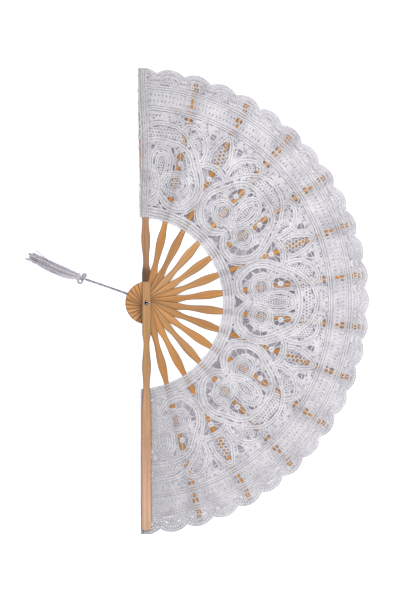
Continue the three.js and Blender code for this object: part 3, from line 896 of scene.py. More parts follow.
    def knot(self) -> Piece:
        """The wound knot, with a curl of cord standing out on each side.

        Returns:
            The piece.
        """
        strand, height = self.knot_strand, self.knot_radius + self.bed
        start, length = self.clearance, self.knot_length
        share = np.linspace(0, 1, 90)
        turn = 2 * math.pi * self.knot_wraps * share
        reach = (self.knot_radius - strand) * (0.82 + 0.18 * np.sin(math.pi * share))
        winding = [
            self.point(start + along, r * math.cos(t), height + r * math.sin(t))
            for along, r, t in zip(strand + share * (length - 2 * strand), reach, turn)
        ]
        core = [self.point(start + 0.4 + k * (length - 0.8) / 8, 0, height) for k in range(9)]
        belly = 0.8 + 0.2 * np.sin(np.linspace(0, math.pi, 9))
        piece = make_mesh("tassel_knot_wound", *joined(
            sweep(np.array(winding), strand, 8, plies=2, lay_length=2.0),
            sweep(np.array(core), (self.knot_radius - strand) * belly, 12),
            self.curl(-1, self.curl_radii[0]),
            self.curl(1, self.curl_radii[1]),
        ))
        smooth(piece, 80)
        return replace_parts(piece, "tassel_knot")

    def curl(self, side: int, radius: float) -> Body:
        """A closed curl of cord beside the knot.

        Args:
            side: 1 for the left side and -1 for the right.
            radius: Radius of the curl's middle line.

        Returns:
            Points and faces.
        """
        middle, lean = side * (self.knot_radius + radius * 0.8), side * radius * 0.5
        thick = self.curl_thickness / 2
        line = [
            self.point(
                self.clearance + self.knot_length / 2 + lean + radius * math.sin(turn),
                middle + side * radius * math.cos(turn),
                thick + self.bed,
            )
            for turn in np.linspace(-math.pi, math.pi, 40, endpoint=False)
        ]
        return sweep(np.array(line), thick, 10, plies=3, lay_length=4.2, closed=True)

    def skirt(self) -> Piece:
        """The skirt: locks of thread that swell out of the neck and part at their ends.

        Returns:
            The piece.
        """
        draw = random.Random(31)
        start = self.knot_length + self.clearance + 0.08
        bodies, tones_with_shade = [], []
        for layer in range(self.lock_layers):
            across = self.locks_across - layer % 2
            for place in range(across):
                offset = (2 * place + 1) / across - 1
                # Painted shade: locks of the lowest layer, on the table under the others, are darker.
                tone = draw.choice((0.0, 0.45, 0.7, 1.0)) if layer else draw.uniform(0.1, 0.4)
                threads = self.lock(start, offset, layer, draw)
                bodies += threads
                tones_with_shade += [min(1.0, max(0.0, tone + draw.uniform(-0.2, 0.2))) for _ in threads]
        neck = []
        length, half_width, half_height = self.neck_size
        for share in np.linspace(0, 1, 60):
            turn = 2 * math.pi * self.neck_wraps * share
            up = self.neck_height + half_height * math.sin(turn)
            along = start + self.neck_start + length * share
            neck.append(self.point(along, half_width * math.cos(turn), up))
        bodies.append(sweep(np.array(neck), self.neck_strand, 7))
        tones_with_shade.append(0.6)
        piece = make_mesh("tassel_threads", *joined(*bodies))
        tone_and_shade = np.repeat(tones_with_shade, [len(points) for points, _ in bodies])
        carry(piece, "strand", np.column_stack([tone_and_shade, tone_and_shade, tone_and_shade]))
        smooth(piece, 80)
        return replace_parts(piece, "tassel_skirt")

    def lock(self, start: float, offset: float, layer: int, draw: random.Random) -> list[Body]:
        """Threads that hang together, twisted a little round each other.

        Args:
            start: Distance from the cord's end to the neck.
            offset: The lock's place across the skirt, from -1 to 1.
            layer: Its layer, 0 on the table.
            draw: Source of chance.

        Returns:
            Points and faces of each thread.
        """
        shares = np.linspace(0, 1, 22)
        reach = self.skirt_length * draw.uniform(0.86, 1.0)
        widths = np.interp(shares, *zip(*self.skirt_widths))
        half = self.skirt_width / 2 * widths - self.lock_radius * 0.8
        phase, stray = draw.uniform(0, 2 * math.pi), draw.uniform(-2.4, 3.0)
        sway = 0.35 * shares * np.sin(phase + 6 * shares) + stray * np.clip(shares - 0.72, 0, 1) / 0.28
        bow = np.interp(shares, np.linspace(0, 1, len(self.skirt_bow)), self.skirt_bow)
        middle = offset * half + sway + bow
        spread = self.lock_radius * np.interp(shares, *zip(*self.lock_widths))
        rise = layer * self.lock_radius * np.interp(shares, *zip(*self.lock_levels))
        level = self.lock_radius + 0.12 + rise
        twist = draw.uniform(0.5, 1.1) * draw.choice((-1, 1))
        threads = []
        for number in range(self.lock_threads):
            turn = 2 * math.pi * (number / self.lock_threads + twist * shares) + phase
            out = spread * (0.0 if number == 0 else draw.uniform(0.6, 0.85))
            length = reach * draw.uniform(0.95, 1.0)
            line = [
                self.point(start + share * length, aside, up)
                for share, aside, up in zip(shares, middle + out * np.cos(turn), level + out * np.sin(turn))
            ]
            radius = draw.uniform(*self.thread_radii)
            threads.append(sweep(np.array(line), np.linspace(radius, radius * 0.75, len(shares)), 5))
        return threads


# Sticks

# Bamboo at the head, the belly, the blade and the tip
BAMBOO_TONES = {
    StickKind.BACK_GUARD: ((167, 129, 98), (167, 131, 101), (185, 139, 100), (189, 144, 104)),
    StickKind.RIB: ((211, 155, 97), (193, 142, 89), (197, 139, 72), (198, 141, 75)),
    StickKind.FRONT_GUARD: ((189, 145, 100), (181, 141, 95), (194, 152, 115), (212, 175, 147)),
}


@dataclass
class Sticks:
    """Fourteen bamboo sticks on one rivet: two guards and the ribs between them."""

    plan: FanPlan
    head_reach: float = 19.8
    head_corner: float = 2.8
    head_end_share: float = 0.35
    tip_corner: float = 2.0
    tip_end_share: float = 0.5
    tip_margin: float = 4.4
    step_clearance: float = 0.4
    step_length: float = 1.6
    bore_radius: float = 1.35
    rib_thickness: float = 1.0
    back_guard_base: float = 2.4
    guard_thickness: float = 2.2
    first_rib_base: float = 4.7
    front_guard_base: float = 17.9
    front_guard_thickness: float = 2.5
    glue_line: float = 0.05
    rib_edge: float = 0.22
    guard_edge: float = 0.7
    under_edge: float = 0.15
    crown: float = 0.05
    rib_widths: Path = ((26, 7), (38, 5), (59, 7.9), (76, 4.8))
    guard_widths: Path = ((26, 8.1), (38, 5.5), (59, 8.3), (76, 6.2), (104, 9))
    first_station: float = -16.5
    station_step: float = 1.5
    underside: float = 0.24
    inland: float = 0.6
    back_guard_dark_band: float = 0.0335
    pieces: list[Piece] = field(default_factory=list)

    def build(self) -> list[Piece]:
        """Makes the sticks.

        Returns:
            The pieces, from the back guard to the front.
        """
        for index in range(self.plan.rib_count + 2):
            self.pieces.append(self.stick(index))
        return self.pieces

    def dress(self) -> None:
        """Gives every stick its own cut of bamboo and lets it ride on its body."""
        draw = random.Random(8)
        for index, piece in enumerate(self.pieces):
            kind, node = self.plan.kind(index), self.plan.stick_name(index)
            shift = draw.uniform(-10, 10)
            warm = draw.uniform(-5, 5)
            varied = [
                (int(r + shift + warm), int(g + shift), int(b + shift - warm))
                for r, g, b in BAMBOO_TONES[kind]
            ]
            back = kind is StickKind.BACK_GUARD
            # Only the back guard gets the darker band, about 10 to 34 mm out from the rivet.
            dark_band = self.back_guard_dark_band if back else BambooFinish.dark_band_end
            finish = BambooFinish(f"{piece.name}_bamboo", *varied, seed=0.31 * index, dark_band_end=dark_band)
            piece.data.materials.append(finish.material())
            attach(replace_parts(piece, node), f"{node}_body")

    def width(self, widths: Path, reach: Array) -> Array:
        """Width along a stick, eased from each named place to the next."""
        result = np.full(reach.shape, float(widths[0][1]))
        for (at, width), (after, following) in zip(widths, widths[1:]):
            share = np.clip((reach - at) / (after - at), 0, 1)
            result += (following - width) * (1 - np.cos(math.pi * share)) / 2
        return result

    def rounding(self, reach: Array, tip: float) -> Array:
        """Share of the full width that the rounded ends leave."""
        into_head = np.clip((reach + self.head_reach) / self.head_corner, 0, 1)
        into_tip = np.clip((tip - reach) / self.tip_corner, 0, 1)
        head = self.head_end_share + (1 - self.head_end_share) * np.sqrt(1 - (1 - into_head) ** 2)
        end = self.tip_end_share + (1 - self.tip_end_share) * np.sqrt(1 - (1 - into_tip) ** 2)
        return np.minimum(head, end)

    def faces(self, index: int, thin: Array) -> tuple[Array, Array, float]:
        """Heights of a stick's two faces.

        Args:
            index: Number of the stick.
            thin: How far it is thinned to take the leaf at each place, from 0 to 1.

        Returns:
            Heights of its lower and its upper face above its base, and the base's own.
        """
        plan, flat = self.plan, np.zeros(thin.shape)
        kind = plan.kind(index)
        if kind is StickKind.RIB:
            base = self.first_rib_base + (index - 1) * plan.stick_pitch
            cut = self.rib_thickness - plan.slip_thickness
            return flat, self.rib_thickness - cut * thin, base
        if kind is StickKind.BACK_GUARD:
            base = self.back_guard_base
            cut = base + self.guard_thickness - plan.leaf_level(0) + self.glue_line
            return flat, self.guard_thickness - cut * thin, base
        base = self.front_guard_base
        cut = plan.leaf_level(index) + plan.leaf_thickness + self.glue_line - base
        return cut * thin, self.front_guard_thickness + flat, base

    def stick(self, index: int) -> Piece:
        """One stick with softly rounded edges and a bore for the rivet.

        Args:
            index: Number of the stick, counted from the back guard.

        Returns:
            The piece.
        """
        rib = self.plan.kind(index) is StickKind.RIB
        angle = self.plan.stick_angle(float(index))
        step_at = self.plan.inner_edge(angle) - self.step_clearance
        tip = self.plan.outer_edge(angle) - self.tip_margin
        corner = 1 - np.cos(np.linspace(0, math.pi / 2, 9))
        ends = [-self.head_reach + self.head_corner * corner, tip - self.tip_corner * corner]
        stations = np.arange(self.first_station, tip - self.tip_corner - 0.2, self.station_step)
        steps = [step_at - self.step_length, step_at]
        reach = np.unique(np.round(np.concatenate([stations, *ends, steps]), 3))
        widths = self.rib_widths if rib else self.guard_widths
        half = self.width(widths, reach) / 2 * self.rounding(reach, tip)
        thin = np.clip((reach - step_at + self.step_length) / self.step_length, 0, 1)
        lower, upper, base = self.faces(index, thin)
        rings = [
            self.section(x, h, float(low), float(high), self.rib_edge if rib else self.guard_edge)
            for x, h, low, high in zip(reach, half, lower, upper)
        ]
        points, faces = loft(rings)
        piece = make_mesh(f"{self.plan.stick_name(index)}_stick", points + [0, 0, base], faces)
        self.bore(piece)
        points = np.array([v.co for v in piece.data.vertices]) / MM
        x, y, z = points.T
        # Distance in from the outline, which drives the painted edge shade and wear; the lower side walls
        # count as inland so that they stay light.
        edge = np.minimum(np.interp(x, reach, half) - np.abs(y), x + self.head_reach)
        edge[z < self.underside] = self.inland
        carry(piece, "stick", np.column_stack([points[:, :2] * MM, edge]))
        turned = np.column_stack([
            x * math.cos(angle) - y * math.sin(angle), x * math.sin(angle) + y * math.cos(angle), z
        ])
        piece.data.vertices.foreach_set("co", (turned * MM).ravel())
        piece.data.update()
        smooth(piece, 40)
        return piece

    def section(self, reach: float, half: float, low: float, high: float, edge: float) -> Array:
        """A stick's cross-section: a flat back, rounded edges and a slightly crowned face.

        Args:
            reach: Distance from the rivet.
            half: Half the width there.
            low: Height of the flat back.
            high: Height of the crown.
            edge: Radius of the face's edges.

        Returns:
            Points round the section.
        """
        upper = min(edge, half / 2, (high - low) * 0.45)
        under = min(self.under_edge, (high - low) * 0.2)
        middle = high - self.crown - upper
        bend = np.radians([0, 30, 60, 90])
        right = [(half - upper + upper * math.cos(t), middle + upper * math.sin(t)) for t in bend]
        outline = [(-half + under, low), (half - under, low), (half, low + under)]
        brow = high - self.crown * 0.2
        outline += [*right, (half * 0.45, brow), (0.0, high), (-half * 0.45, brow)]
        outline += [(-y, z) for y, z in reversed(right)]
        outline += [(-half, low + under)]
        return np.array([(reach, y, z) for y, z in outline])

    def bore(self, piece: Piece) -> None:
        """Cuts the rivet's bore.

        Args:
            piece: A stick that lies along +X.
        """
        turn = np.linspace(0, 2 * math.pi, 32, endpoint=False)
        rings = [np.column_stack([polar(self.bore_radius, turn), np.full(32, z)]) for z in (-5.0, 40.0)]
        cutter = make_mesh("bore_cutter", *loft(rings))
        modifier = piece.modifiers.new("bore", "BOOLEAN")
        modifier.operation = "DIFFERENCE"
        modifier.solver = "EXACT"
        modifier.object = cutter
        graph = bpy.context.evaluated_depsgraph_get()
        cut = bpy.data.meshes.new_from_object(piece.evaluated_get(graph))
        piece.modifiers.clear()
        piece.data = cut
        cut.name = piece.name
        bpy.data.objects.remove(cutter)


# Leaf


@dataclass
class Coverage:
    """Which parts of the plane the tapes cover, on a fine grid of squares."""

    low: Point = (-20.0, -226.0)
    size: Point = (236.0, 452.0)
    square: float = 0.5

    def __post_init__(self) -> None:
        """Starts with nothing covered."""
        shape = (int(self.size[0] / self.square), int(self.size[1] / self.square))
        self.taken = np.zeros(shape, bool)

    def squares(self, points: Array) -> Array:
        """Numbers of the squares that points lie in, held inside the grid."""
        numbers = np.floor((points - np.array(self.low)) / self.square).astype(int)
        return np.clip(numbers, 0, np.array(self.taken.shape) - 1)

    def cover(self, line: Array, reach: float) -> None:
        """Marks what a line covers.

        Args:
            line: Points of the line, closer together than the reach.
            reach: Distance that it covers on each side.
        """
        count = math.ceil(reach / self.square)
        steps = np.arange(-count, count + 1) * self.square
        disc = np.stack(np.meshgrid(steps, steps), axis=-1).reshape(-1, 2)
        disc = disc[np.linalg.norm(disc, axis=1) <= reach]
        marked = self.squares((line[:, None] + disc[None]).reshape(-1, 2))
        self.taken[marked[:, 0], marked[:, 1]] = True

    def covers(self, points: Array) -> Array:
        """Whether points are covered."""
        numbers = self.squares(points)
        return self.taken[numbers[:, 0], numbers[:, 1]]


@dataclass(frozen=True)
class Ladder:
    """The ladder between two bands of a tape: its width, the length of a rung and their pitch."""

    slot: float = 0.5
    rung: float = 1.3
    pitch: float = 1.9


@dataclass(frozen=True)
class Cloth:
    """A worked cloth: brightness of its threads, painted shade at the brinks of its holes, lift, and share
    of thickness.
    """

    tone: float
    brink_shade: float = 0.1
    lift: float = 0.0
    body: float = 0.5


@dataclass
class LaceWork:
    """The lace laid out flat, as four-cornered cells of tape, net, ring and bar.

    A corner holds x, y, the place along its thread and across it, its tone, its lift off the
    ground and its body, which is its share of the leaf's full thickness.
    """

    plan: FanPlan
    wander: float = 0.22
    bar_start: float = 2.3
    bar_tuck: float = 0.6
    layers: int = 7
    layer_step: float = 0.0013
    cells: list[Array] = field(default_factory=list)
    coverage: Coverage = field(default_factory=Coverage)
    draw: np.random.Generator = field(default_factory=lambda: np.random.default_rng(12))

    def add(self, corners: Array, weave: Array, tone: object, lift: float, body: object) -> None:
        """Adds cells.

        Args:
            corners: Four corners of each cell.
            weave: Places along and across the thread at each corner.
            tone: Brightness from 0 to 1, of all corners or of each.
            lift: Height above the lowest layer.
            body: Share of the leaf's thickness, of all corners or of each.
        """
        extra = np.empty((*corners.shape[:2], 3))
        extra[..., 0], extra[..., 1], extra[..., 2] = tone, lift, body
        self.cells.append(np.concatenate([corners, weave, extra], axis=2))

    def strips(
        self, points: Array, along: Array, across: Array, bodies: Array,
        lift: float, open_columns: Sequence[int] = (), brightness: float = 1.0,
    ) -> None:
        """Adds a strip given by a grid of points, with rungs where it has open columns.

        Args:
            points: Grid of points, stations by columns.
            along: Distance of each station.
            across: Offset of each column.
            bodies: Share of the leaf's thickness at each column; the thickest part is the brightest, and
                painted shade darkens the thinner parts.
            lift: Height above the lowest layer.
            open_columns: Columns that only every second step fills.
            brightness: Tone of the brightest part.
        """
        lift += self.layer_step * (len(self.cells) % self.layers)
        # Painted shade: a strip's tone falls with its thickness, darkening the grooves and edges between
        # raised cords.
        floor = bodies.min() * 0.75
        tones_with_shade = brightness * (bodies - floor) / (bodies.max() - floor)
        glow = 1 + 0.09 * self.waves(along, 7.3) + 0.06 * self.waves(along, 3.1)
        for column in range(len(across) - 1):
            steps = np.arange(0, len(along) - 1, 2 if column in open_columns else 1)
            grid = [(steps, column), (steps + 1, column), (steps + 1, column + 1), (steps, column + 1)]
            corners = np.stack([points[step, wide] for step, wide in grid], axis=1)
            shape = corners.shape[:2]
            weave = np.empty((*shape, 2))
            tone, body = np.empty(shape), np.empty(shape)
            for corner, (step, wide) in enumerate(grid):
                weave[:, corner, 0], weave[:, corner, 1] = along[step], across[wide]
                tone[:, corner], body[:, corner] = tones_with_shade[wide] * glow[step], bodies[wide]
            self.add(corners, weave, tone, lift, body)

    def waves(self, along: Array, length: float) -> Array:
        """A gentle uneven wave between -1 and 1, of about a length."""
        first, second = self.draw.uniform(0, 2 * math.pi, 2)
        turn = 2 * math.pi * along / length
        return 0.6 * np.sin(turn + first) + 0.4 * np.sin(1.7 * turn + second)

    def stations(self, length: float, ladder: Ladder | None) -> Array:
        """Distances along a tape at which it has points.

        Args:
            length: Length of the tape.
            ladder: The ladder whose rungs start and end at them, or None for a tape without one.

        Returns:
            The distances.
        """
        if ladder is None:
            return np.linspace(0, length, max(3, round(length / 1.5) + 1))
        count = max(2, round(length / ladder.pitch))
        starts = np.arange(count) * length / count
        marks = np.stack([starts, starts + ladder.rung], axis=1).ravel()
        return np.append(marks, length)

    def tape(
        self, line: Array, width: float, lift: float = 0.03, bands: int = 2,
        edge: float = 0.5, brightness: float = 1.0, pulled: float = 0.0, ladder: Ladder = Ladder(),
    ) -> None:
        """Lays a tape along a line of points: corded bands with a ladder between every two.

        Args:
            line: Points of its middle, the first again at the end for a ring.
            width: Its width.
            lift: Height above the lowest layer.
            bands: Number of corded bands.
            edge: Share of the thickness at the edges of each band.
            brightness: Tone of the cords.
            pulled: How far its bands are pulled apart over the sticks.
            ladder: The ladder between its bands.
        """
        steps = np.linalg.norm(np.diff(line, axis=0), axis=1)
        reach = np.concatenate([[0], np.cumsum(steps)])
        along = self.stations(reach[-1], ladder if bands > 1 else None)
        away = self.plan.off_stick(sampled(line, reach, along))
        over = np.interp(away, [2.0, 3.0], [1.0, 0.0]) * (pulled > 0)
        along[1:-1:2] -= 0.4 * over[1:-1:2]
        ahead = np.gradient(line, reach + np.arange(len(reach)) * 1e-9, axis=0)
        if np.allclose(line[0], line[-1]):
            ahead[0] = ahead[-1] = ahead[0] + ahead[-1]
        centre, heading = sampled(line, reach, along), sampled(ahead, reach, along)
        heading /= np.linalg.norm(heading, axis=1, keepdims=True)
        left = np.stack([-heading[:, 1], heading[:, 0]], axis=1)
        settled = np.clip(np.minimum(along, along[-1] - along) / 6, 0, 1)
        centre = centre + left * (self.wander * settled * self.waves(along, 11.0))[:, None]
        band = (width - (bands - 1) * ladder.slot) / bands
        starts = -width / 2 + np.arange(bands) * (band + ladder.slot)
        across = (starts[:, None] + np.array([0, 0.5, 1]) * band).ravel()
        pull = np.tile([pulled, 0.0, -pulled], bands)
        pull[[0, -1]] = 0.0
        points = centre[:, None] + left[:, None] * (across + over[:, None] * pull)[..., None]
        bodies = np.tile([edge, 1.0, edge], bands)
        self.strips(points, along, across, bodies, lift, tuple(range(2, 3 * bands - 1, 3)), brightness)
        self.coverage.cover(line, max(width / 2 - 0.35, 0.0))

    def cord(self, outline: Array, width: float = 1.2, lift: float = 0.05) -> None:
        """Edges an outline with a cord."""
        line = spline(outline, closed=True, steps=4)
        self.tape(line, width, lift, bands=1, edge=0.6, brightness=0.85)

    def pierced(self, rim: Array, hole: Array, cloth: Cloth) -> None:
        """Adds the cells that lie between the rims of pierced cells and their holes."""
        quads = np.stack([rim, np.roll(rim, -1, axis=1), np.roll(hole, -1, axis=1), hole], axis=2)
        quads = quads.reshape(-1, 4, 2)
        # Painted shade: the corners at each hole take the darker brink tone.
        tones_with_shade = np.repeat([cloth.tone, cloth.brink_shade], 2)
        self.add(quads, quads - quads[:1, :1], tones_with_shade, cloth.lift, cloth.body)

    def worked(self, corners: Array, openness: Array, cloth: Cloth) -> None:
        """Adds cells of net, each with one rounded hole.

        Args:
            corners: Four corners of each cell.
            openness: Size of each hole as a share of its cell.
            cloth: What they look like.
        """
        count = len(corners)
        following = np.roll(corners, -1, axis=1)
        rim = np.stack([corners, (corners + following) / 2], axis=2).reshape(count, 8, 2)
        centre = corners.mean(axis=1, keepdims=True)
        size = np.linalg.norm(corners[:, 0] - corners[:, 2], axis=1)[:, None, None]
        centre = centre + self.draw.uniform(-0.03, 0.03, (count, 1, 2)) * size
        scale = np.reshape(openness, (-1, 1, 1)) * self.draw.uniform(0.85, 1.1, (count, 1, 1))
        shape = np.tile([0.82, 1.0], 4)[None, :, None] * self.draw.uniform(0.86, 1.08, (count, 8, 1))
        hole = centre + (rim - centre) * np.minimum(scale * shape, 0.9)
        self.pierced(rim, hole, cloth)

    def filled(self, corners: Array, cloth: Cloth) -> None:
        """Adds filler cells: some closely worked, and some with a small four-cornered hole.

        Args:
            corners: Four corners of each cell.
            cloth: What they look like.
        """
        close = self.draw.uniform(size=len(corners)) < 0.6
        self.add(corners[close], corners[close] - corners[:1, :1], cloth.tone, cloth.lift, cloth.body)
        rim = corners[~close]
        centre = rim.mean(axis=1, keepdims=True)
        scale = self.draw.uniform(0.15, 0.55, (len(rim), 4, 1))
        hole = centre + (rim - centre) * scale
        self.pierced(rim, hole, cloth)

    def lattice(self, outline: Array, pitch: Point, tilt: float) -> Array:
        """Cells of a staggered net that fill an outline.

        Args:
            outline: The outline's points.
            pitch: Size of a cell along and across the net's rows.
            tilt: Direction of the rows.

        Returns:
            Four corners of each cell.
        """
        rows = np.array([[math.cos(tilt), math.sin(tilt)], [-math.sin(tilt), math.cos(tilt)]])
        middle = (outline.min(axis=0) + outline.max(axis=0)) / 2
        reach = np.linalg.norm(outline.max(axis=0) - outline.min(axis=0)) / 2
        count = int(reach / min(pitch)) + 2
        numbers = np.arange(-count, count)
        i, j = (grid.ravel() for grid in np.meshgrid(numbers, numbers))
        centres = np.stack([(i + 0.5 * (j % 2)) * pitch[0], j * pitch[1]], axis=1) @ rows + middle
        centres = centres[inside(centres, outline)]
        corners = np.array([[-0.5, -0.5], [0.5, -0.5], [0.5, 0.5], [-0.5, 0.5]]) * pitch @ rows
        return snapped(centres[:, None] + corners[None], outline, keep_inside=True)

    def ring_lattice(self, low: float, high: float, rows: int, pitch: float) -> Array:
        """Cells of a staggered net in a band round the whole leaf.

        Args:
            low: Depth of the band's inner edge.
            high: Depth of its outer edge.
            rows: Number of rows of cells.
            pitch: Length of a cell round the leaf.

        Returns:
            Four corners of each cell.
        """
        found = []
        depths = np.linspace(low, high, rows + 1)
        for row in range(rows):
            radius = self.plan.leaf_radius(self.plan.gore_count / 2, depths[row])
            step = pitch / radius / self.plan.gore_angle
            starts = np.arange(-0.6, self.plan.gore_count + 0.6, step) + (step / 2 if row % 2 else 0)
            found.append(self.blocks(starts, starts + step, depths[row], depths[row + 1]))
        return np.concatenate(found)

    def blocks(self, starts: Array, ends: Array, low: float, high: float) -> Array:
        """Four corners of each cell between two places and two depths."""
        corners = [(starts, low), (ends, low), (ends, high), (starts, high)]
        return np.stack([self.plan.leaf_points(places, depth) for places, depth in corners], axis=1)

    def bar(self, start: Array, end: Array, width: float = 0.9) -> None:
        """Adds a worked bar.

        Args:
            start: Its first end.
            end: Its other end.
            width: Its width at the ends.
        """
        ahead = end - start
        length = float(np.linalg.norm(ahead))
        left = np.array([-ahead[1], ahead[0]]) / length * width / 2
        marks = np.linspace(0, 1, max(2, int(length / 1.5)) + 1)
        waist = 1 - 0.2 * np.sin(math.pi * marks)[:, None]
        points = start + ahead * marks[:, None]
        grid = np.stack([points - left * waist, points, points + left * waist], axis=1)
        across = np.array([-width / 2, 0, width / 2])
        self.strips(grid, marks * length, across, np.array([0.6, 1.0, 0.6]), 0.04, brightness=0.9)

    def wheel(
        self, centre: Array, corners: Array, width: float, outer: float, hole: float
    ) -> None:
        """Adds a wound ring that bars hold in the middle of a window.

        Args:
            centre: Middle of the ring.
            corners: Places of the window's edge that the bars reach.
            width: Width of the bars.
            outer: Radius of the ring.
            hole: Radius of its hole.
        """
        for corner in corners:
            away = (corner - centre) / np.linalg.norm(corner - centre)
            self.bar(centre + away * self.bar_start, corner + away * self.bar_tuck, width)
        self.ring(centre, outer, hole)

    def ring(self, centre: Array, outer: float, hole: float) -> None:
        """Adds a wound ring."""
        turn = np.linspace(0, 2 * math.pi, 21)
        radii = np.array([hole, (hole + outer) / 2, outer])
        grid = centre + polar(radii[None, :], turn[:, None])
        self.strips(grid, turn * outer, radii, np.array([0.7, 1.15, 0.7]), 0.06, brightness=1.15)

    def close(self) -> None:
        """Puts every cell in one array and turns them all face up."""
        cells = np.concatenate(self.cells)
        x, y = cells[:, :, 0], cells[:, :, 1]
        area = (x * np.roll(y, -1, axis=1) - np.roll(x, -1, axis=1) * y).sum(axis=1) / 2
        cells[area < 0] = cells[area < 0][:, ::-1]
        self.all_cells = cells[np.abs(area) > 1e-3]

    def panel(self, cuts: Cuts, sector: Point) -> list[Array]:
        """The lace on one side of each of several straight cuts.

        Args:
            cuts: For each cut its normal and offset; what lies beyond the offset is cut off.
            sector: Lowest and highest place that the panel can reach.

        Returns:
            Polygons, as arrays of corners.
        """
        place, _ = self.plan.place_of(self.all_cells[:, :, :2].mean(axis=1))
        cells = self.all_cells[(place > sector[0]) & (place < sector[1])]
        crossing = np.zeros(len(cells), bool)
        outside = np.zeros(len(cells), bool)
        for normal, offset in cuts:
            beyond = cells[:, :, :2] @ normal - offset
            outside |= (beyond >= -1e-6).all(axis=1)
            crossing |= (beyond > 1e-6).any(axis=1)
        whole = list(cells[~outside & ~crossing])
        for cell in cells[~outside & crossing]:
            polygon = list(cell)
            for normal, offset in cuts:
                polygon = self.trimmed(polygon, normal, offset)
            if len(polygon) > 2:
                whole.append(np.array(polygon))
        return whole

    def trimmed(self, polygon: list[Array], normal: Array, offset: float) -> list[Array]:
        """A polygon without what lies beyond a cut.

        Args:
            polygon: Its corners.
            normal: Direction in which the cut's far side lies.
            offset: Distance of the cut from the rivet in that direction.

        Returns:
            The corners that are left.
        """
        kept = []
        for corner, after in zip(polygon, polygon[1:] + polygon[:1]):
            here, there = corner[:2] @ normal - offset, after[:2] @ normal - offset
            if here <= 0:
                kept.append(corner)
            if here * there < 0:
                kept.append(corner + (after - corner) * (here / (here - there)))
        return kept


def snapped(cells: Array, outline: Array, keep_inside: bool) -> Array:
    """Cells whose corners on the wrong side of an outline are moved onto it.

    Args:
        cells: Four corners of each cell.
        outline: Points of a closed outline.
        keep_inside: Whether the cells belong inside.

    Returns:
        The cells.
    """
    wrong = inside(cells, outline) != keep_inside
    points = cells[wrong]
    if not len(points):
        return cells
    start = outline[None]
    step = np.roll(outline, -1, axis=0)[None] - start
    share = ((points[:, None] - start) * step).sum(axis=2) / (step**2).sum(axis=2)
    near = start + step * np.clip(share, 0, 1)[..., None]
    nearest = np.linalg.norm(near - points[:, None], axis=2).argmin(axis=1)
    moved = cells.copy()
    moved[wrong] = near[np.arange(len(points)), nearest]
    return moved


@dataclass(frozen=True)
class Spot:
    """Where a motif lies: the place of its middle, and its side, which is -1 where it is mirrored."""

    middle: float
    side: int = 1


